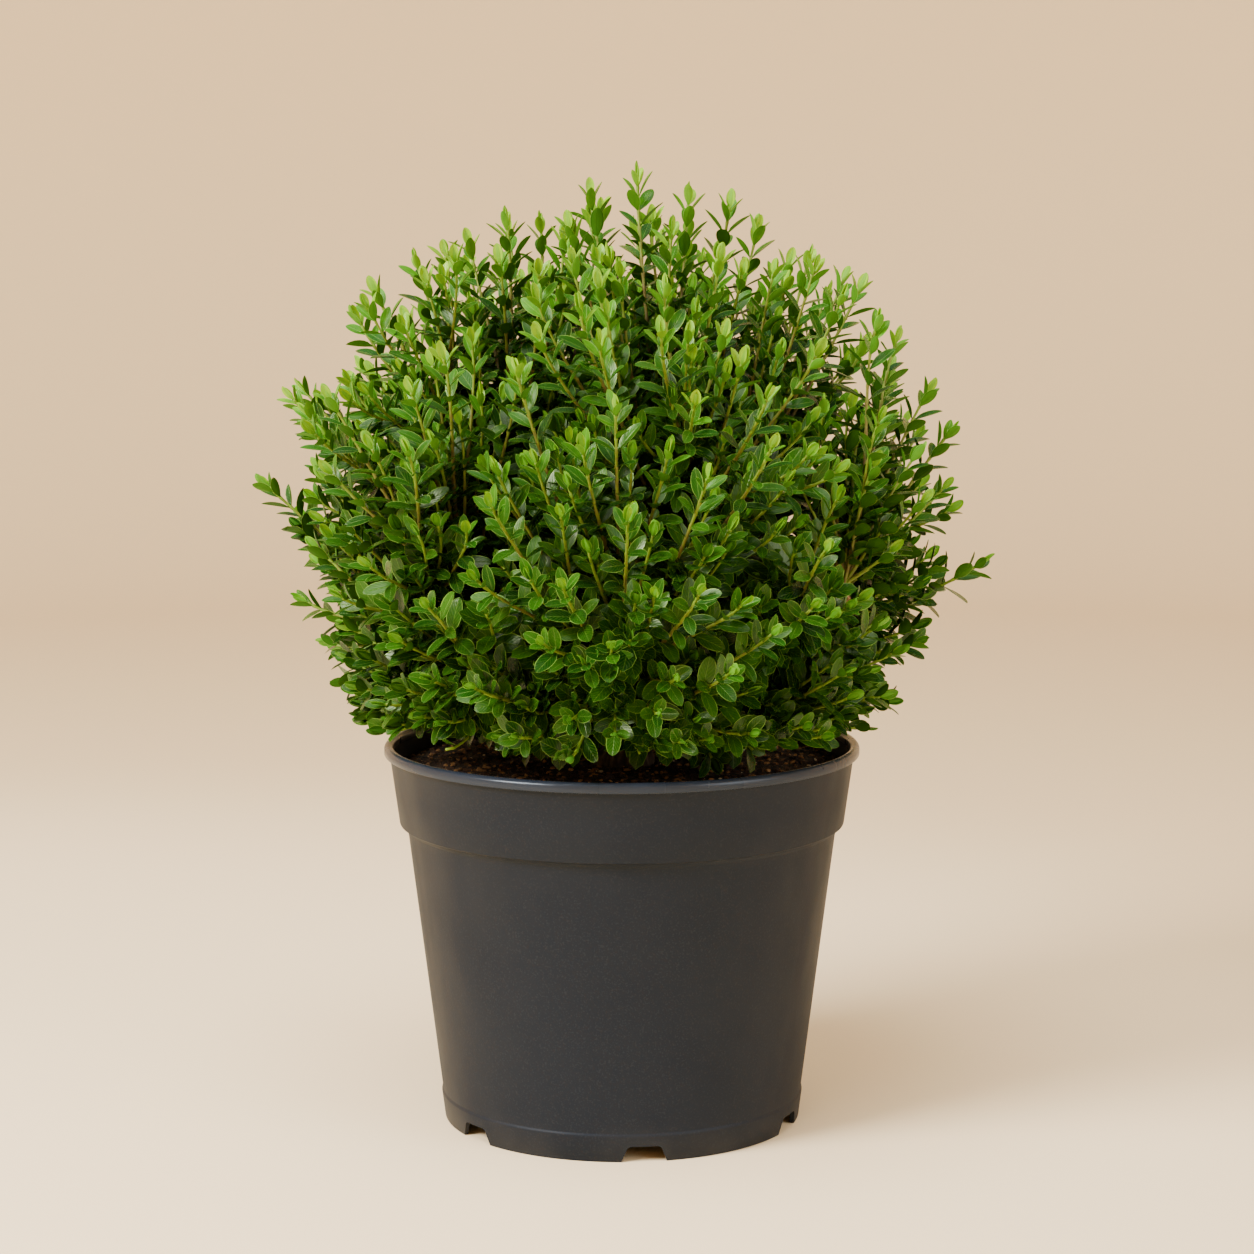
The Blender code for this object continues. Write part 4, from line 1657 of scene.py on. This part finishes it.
    def dress(self, bm: BMesh, twig: Twig) -> None:
        """Draws one twig and its leaves.

        Args:
            bm: The shoot's shape.
            twig: The twig.
        """
        steps = max(10, round((twig.end - twig.start) / self.step_length))
        route = twig.route(self.lines, steps)
        marks = [0.0]
        for a, b in zip(route, route[1:]):
            marks.append(marks[-1] + (b - a).length)
        length = marks[-1]
        radii = [between(twig.foot_radius, twig.tip_radius, ease(mark / length)) for mark in marks]
        pairs = self.pair_marks(length, twig.leafy_length)
        joints = [length - back for back in pairs] if twig.youngest < self.plain_from else []
        self.draw_wood(bm, route, marks, radii, joints)
        turn = self.chance.uniform(0.0, math.pi)
        for index, back in enumerate(pairs):
            upper, share = self.find(marks, length - back)
            centre = route[upper - 1].lerp(route[upper], share)
            along = (route[upper] - route[upper - 1]).normalized()
            quarter = turn + index * math.pi / 2 + self.chance.gauss(0.0, 0.12)
            away = Matrix.Rotation(quarter, 3, along) @ along.orthogonal().normalized()
            radius = between(radii[upper - 1], radii[upper], share)
            for flip in (1.0, -1.0):
                self.add_leaf(bm, centre + away * flip * radius * 0.7, along, away * flip, index, twig)

    def build(self) -> list[bpy.types.Object]:
        """Makes every shoot.

        Returns:
            The shoots.
        """
        twig_finish, leaf_finish = TwigFinish().make(), LeafFinish().make()
        pieces = []
        for name, twigs in self.canopy.shoots.items():
            bm = bmesh.new()
            bm.loops.layers.uv.new("LeafMap")
            for layer in ("side", "age", "tint"):
                bm.verts.layers.float.new(layer)
            for twig in twigs:
                self.dress(bm, twig)
            finishes = [twig_finish, leaf_finish]
            pieces.append(piece_from(bm, f"leafy_{name}", finishes, (name,), crease=180.0))
        self.press.clear()
        log.info("%d leaves on %d twigs", self.leaf_count, sum(len(t) for t in self.canopy.shoots.values()))
        return pieces


class WoodyStem:
    """A stem from the root crown up to its leading shoot."""

    RADII = (0.0024, 0.0013)
    FLARE = 0.0016
    KNOT = 0.00018
    GNARL = 0.00025
    STEPS = 36
    SIDES = 14

    def __init__(self, name: str, lines: GrowthLines, sink: float = 0.004) -> None:
        """Reads the CAD stem.

        Args:
            name: The CAD stem's node.
            lines: The growth lines.
            sink: How far its foot reaches into the crown.
        """
        self.name = name
        self.lines = lines
        spots = cad_points(name, lines.crown)
        top = sum(spots[-8:], Vector()) / 8
        self.label = lines.label(top)
        self.foot = (spots[0] - lines.crown).length - sink
        self.end = (top - lines.crown).length

    def axis(self, distance: float) -> Vector:
        """The stem's middle at a distance from the crown."""
        return self.lines.point(distance, self.label)

    def build(self, finish: Material) -> bpy.types.Object:
        """Draws the stem as a slightly knotty tapered tube.

        Args:
            finish: The bark.

        Returns:
            The stem.
        """
        bm = bmesh.new()
        bm.verts.layers.float.new("age")
        route, radii = [], []
        for step in range(self.STEPS + 1):
            share = step / self.STEPS
            route.append(self.axis(between(self.foot, self.end + 0.003, share)))
            flare = self.FLARE * (1.0 - share) ** 6
            knots = self.KNOT * math.sin(step * 2.3 + self.label.x * 9) * (1.0 - share * 0.5)
            radii.append(between(*self.RADII, share) + flare + knots)
        tube(bm, route, radii, self.SIDES, [1.0] * len(route))
        for vert in bm.verts:
            vert.co += noise.noise_vector(vert.co * 260) * self.GNARL
        return piece_from(bm, f"woody_{self.name}", [finish], (self.name,), crease=60.0)


@dataclass
class RootCrown:
    """The woody knot at soil level that the stems rise from."""

    lines: GrowthLines
    knobble: float = 0.0016
    ridge: float = 0.0008
    taper: float = 0.45

    def build(self, finish: Material) -> bpy.types.Object:
        """Shapes a ball into a knobbly crown that runs down into the soil.

        Args:
            finish: The bark.

        Returns:
            The crown.
        """
        low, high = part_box("root_crown")
        radius = (high.x - low.x) / 2
        bm = bmesh.new()
        bmesh.ops.create_icosphere(bm, subdivisions=5, radius=1.0)
        for vert in bm.verts:
            direction = vert.co.copy()
            depth = max(0.0, -direction.z)
            width = radius * (1.0 - self.taper * depth)
            height = self.lines.crown.z - low.z if depth else radius
            lumps = noise.noise(direction * 2.2) * 0.6 + noise.noise(direction * 6.0) * 0.4
            ridges = abs(math.sin(3.5 * math.atan2(direction.y, direction.x) + direction.z))
            inset = self.knobble * (1.0 - lumps) * 0.8 + self.ridge * ridges
            spot = Vector((direction.x * width, direction.y * width, direction.z * height))
            vert.co = self.lines.crown + spot - spot.normalized() * inset
        return piece_from(bm, "crown_knot", [finish], ("root_crown",), crease=180.0)


# ---------------------------------------------------------------- studio


@dataclass
class Studio:
    """The camera, the soft lights and the pale floor that sweeps up into a round backdrop."""

    eye: Triple = (0.0026, -1.548, 0.454)
    tilt: float = math.radians(7.5)
    lens: float = 89.0
    target: Triple = (0.0, 0.0, 0.25)
    floor_radius: float = 2.1
    sweep_radius: float = 0.7
    wall_height: float = 3.0
    sweep_steps: int = 12
    floor_steps: int = 96
    air: tuple[float, float, float, float] = (0.90, 0.95, 1.0, 1.0)
    air_strength: float = 0.64

    def camera(self) -> None:
        """Sets the camera."""
        data = bpy.data.cameras.new("studio_camera")
        data.lens = self.lens
        data.sensor_width = 36.0
        camera = linked("studio_camera", data)
        camera.location = self.eye
        camera.rotation_euler = (math.pi / 2 - self.tilt, 0.0, 0.0)
        bpy.context.scene.camera = camera

    def floor(self) -> None:
        """Makes the floor and its backdrop."""
        outline = [(0.0, 0.0), (self.floor_radius * 0.5, 0.0), (self.floor_radius, 0.0)]
        for step in range(1, self.sweep_steps + 1):
            angle = math.pi / 2 * step / self.sweep_steps
            radius = self.floor_radius + self.sweep_radius * math.sin(angle)
            outline.append((radius, self.sweep_radius * (1.0 - math.cos(angle))))
        outline.append((self.floor_radius + self.sweep_radius, self.wall_height))
        bm = turned(outline, self.floor_steps)
        for face in bm.faces:
            face.normal_update()
        if sum(face.normal.z for face in bm.faces if face.calc_center_median().length < 1.0) < 0:
            bmesh.ops.reverse_faces(bm, faces=bm.faces)
        mesh = pressed(bm, "studio_floor")
        mesh.shade_smooth()
        mesh.materials.append(FloorWithPaintedLightPool().make())
        floor = linked("studio_floor", mesh)

    def light(self, name: str, spot: Triple, size: float, power: float, colour: Colour) -> None:
        """Hangs one soft panel that faces the plant.

        Args:
            name: The light's name.
            spot: Where it hangs.
            size: Its width.
            power: Its power in watts.
            colour: Its colour.
        """
        data = bpy.data.lights.new(name, "AREA")
        data.shape = "DISK"
        data.size = size
        data.energy = power
        data.color = colour
        light = linked(name, data)
        light.location = spot
        light.rotation_euler = (Vector(self.target) - Vector(spot)).to_track_quat("-Z", "Y").to_euler()

    def build(self) -> None:
        """Sets up the whole studio."""
        self.camera()
        self.floor()
        self.light("key_panel", (-1.6, -1.15, 1.5), 1.0, 128.0, (1.0, 0.98, 0.94))
        self.light("top_panel", (-0.3, -0.7, 2.2), 1.4, 46.0, (1.0, 0.98, 0.95))
        self.light("fill_panel", (1.6, -1.1, 0.8), 1.2, 25.0, (0.90, 0.95, 1.0))
        world = bpy.data.worlds.new("studio_air")
        world.use_nodes = True
        air = world.node_tree.nodes["Background"]
        air.inputs["Color"].default_value = self.air
        air.inputs["Strength"].default_value = self.air_strength
        bpy.context.scene.world = world


def main() -> None:
    """Builds the potted boxwood from the pot up."""
    logging.basicConfig(level=logging.INFO, format="%(name)s: %(message)s")
    noise.seed_set(NOISE_SEED)
    Studio().build()
    pot = NurseryPot()
    pot.build()
    mix = PottingMix(pot)
    mix.build_bed(PottingMixFinish().make())
    mix.build_crumbs(CrumbFinish().make())
    lines = GrowthLines(Vector((0.0, 0.0, mix.level)))
    # The crown keeps the darker default bark: in part older bark, in part painted shade under the leaves.
    RootCrown(lines).build(BarkFinish("crown_bark_and_painted_shade").make())
    stems = [WoodyStem(name, lines) for name in sorted(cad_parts) if name.startswith("stem_")]
    stem_bark = BarkFinish(
        "stem_bark", ridge=paint(160, 124, 78), body=paint(120, 84, 48), fissure=paint(74, 48, 28),
        fineness=700.0, depth=0.0003,
    ).make()
    for stem in stems:
        stem.build(stem_bark)
    canopy = Canopy(lines, stems, pot)
    canopy.fill(190, 4.3, (0.92, 1.02), 0.120, (0.0, 0.85), 46.0)
    canopy.fill(440, 5.2, (0.82, 0.98), 0.115, (0.0, 0.90), 80.0)
    # The inner fills start with old leaves, which are drawn darker: in part older leaves, in part painted
    # shade inside the dome.
    canopy.fill(640, 0.0, (0.64, 0.90), 0.110, (0.32, 1.0), 84.0)
    canopy.fill(620, 0.0, (0.40, 0.70), 0.090, (0.60, 1.0), 84.0)
    canopy.fill(96, 0.0, (0.54, 0.76), 0.080, (0.36, 1.0), 90.0, 72.0)
    LeafyShoots(lines, canopy, pot, mix.level).build()


if __name__ == "__main__":
    main()
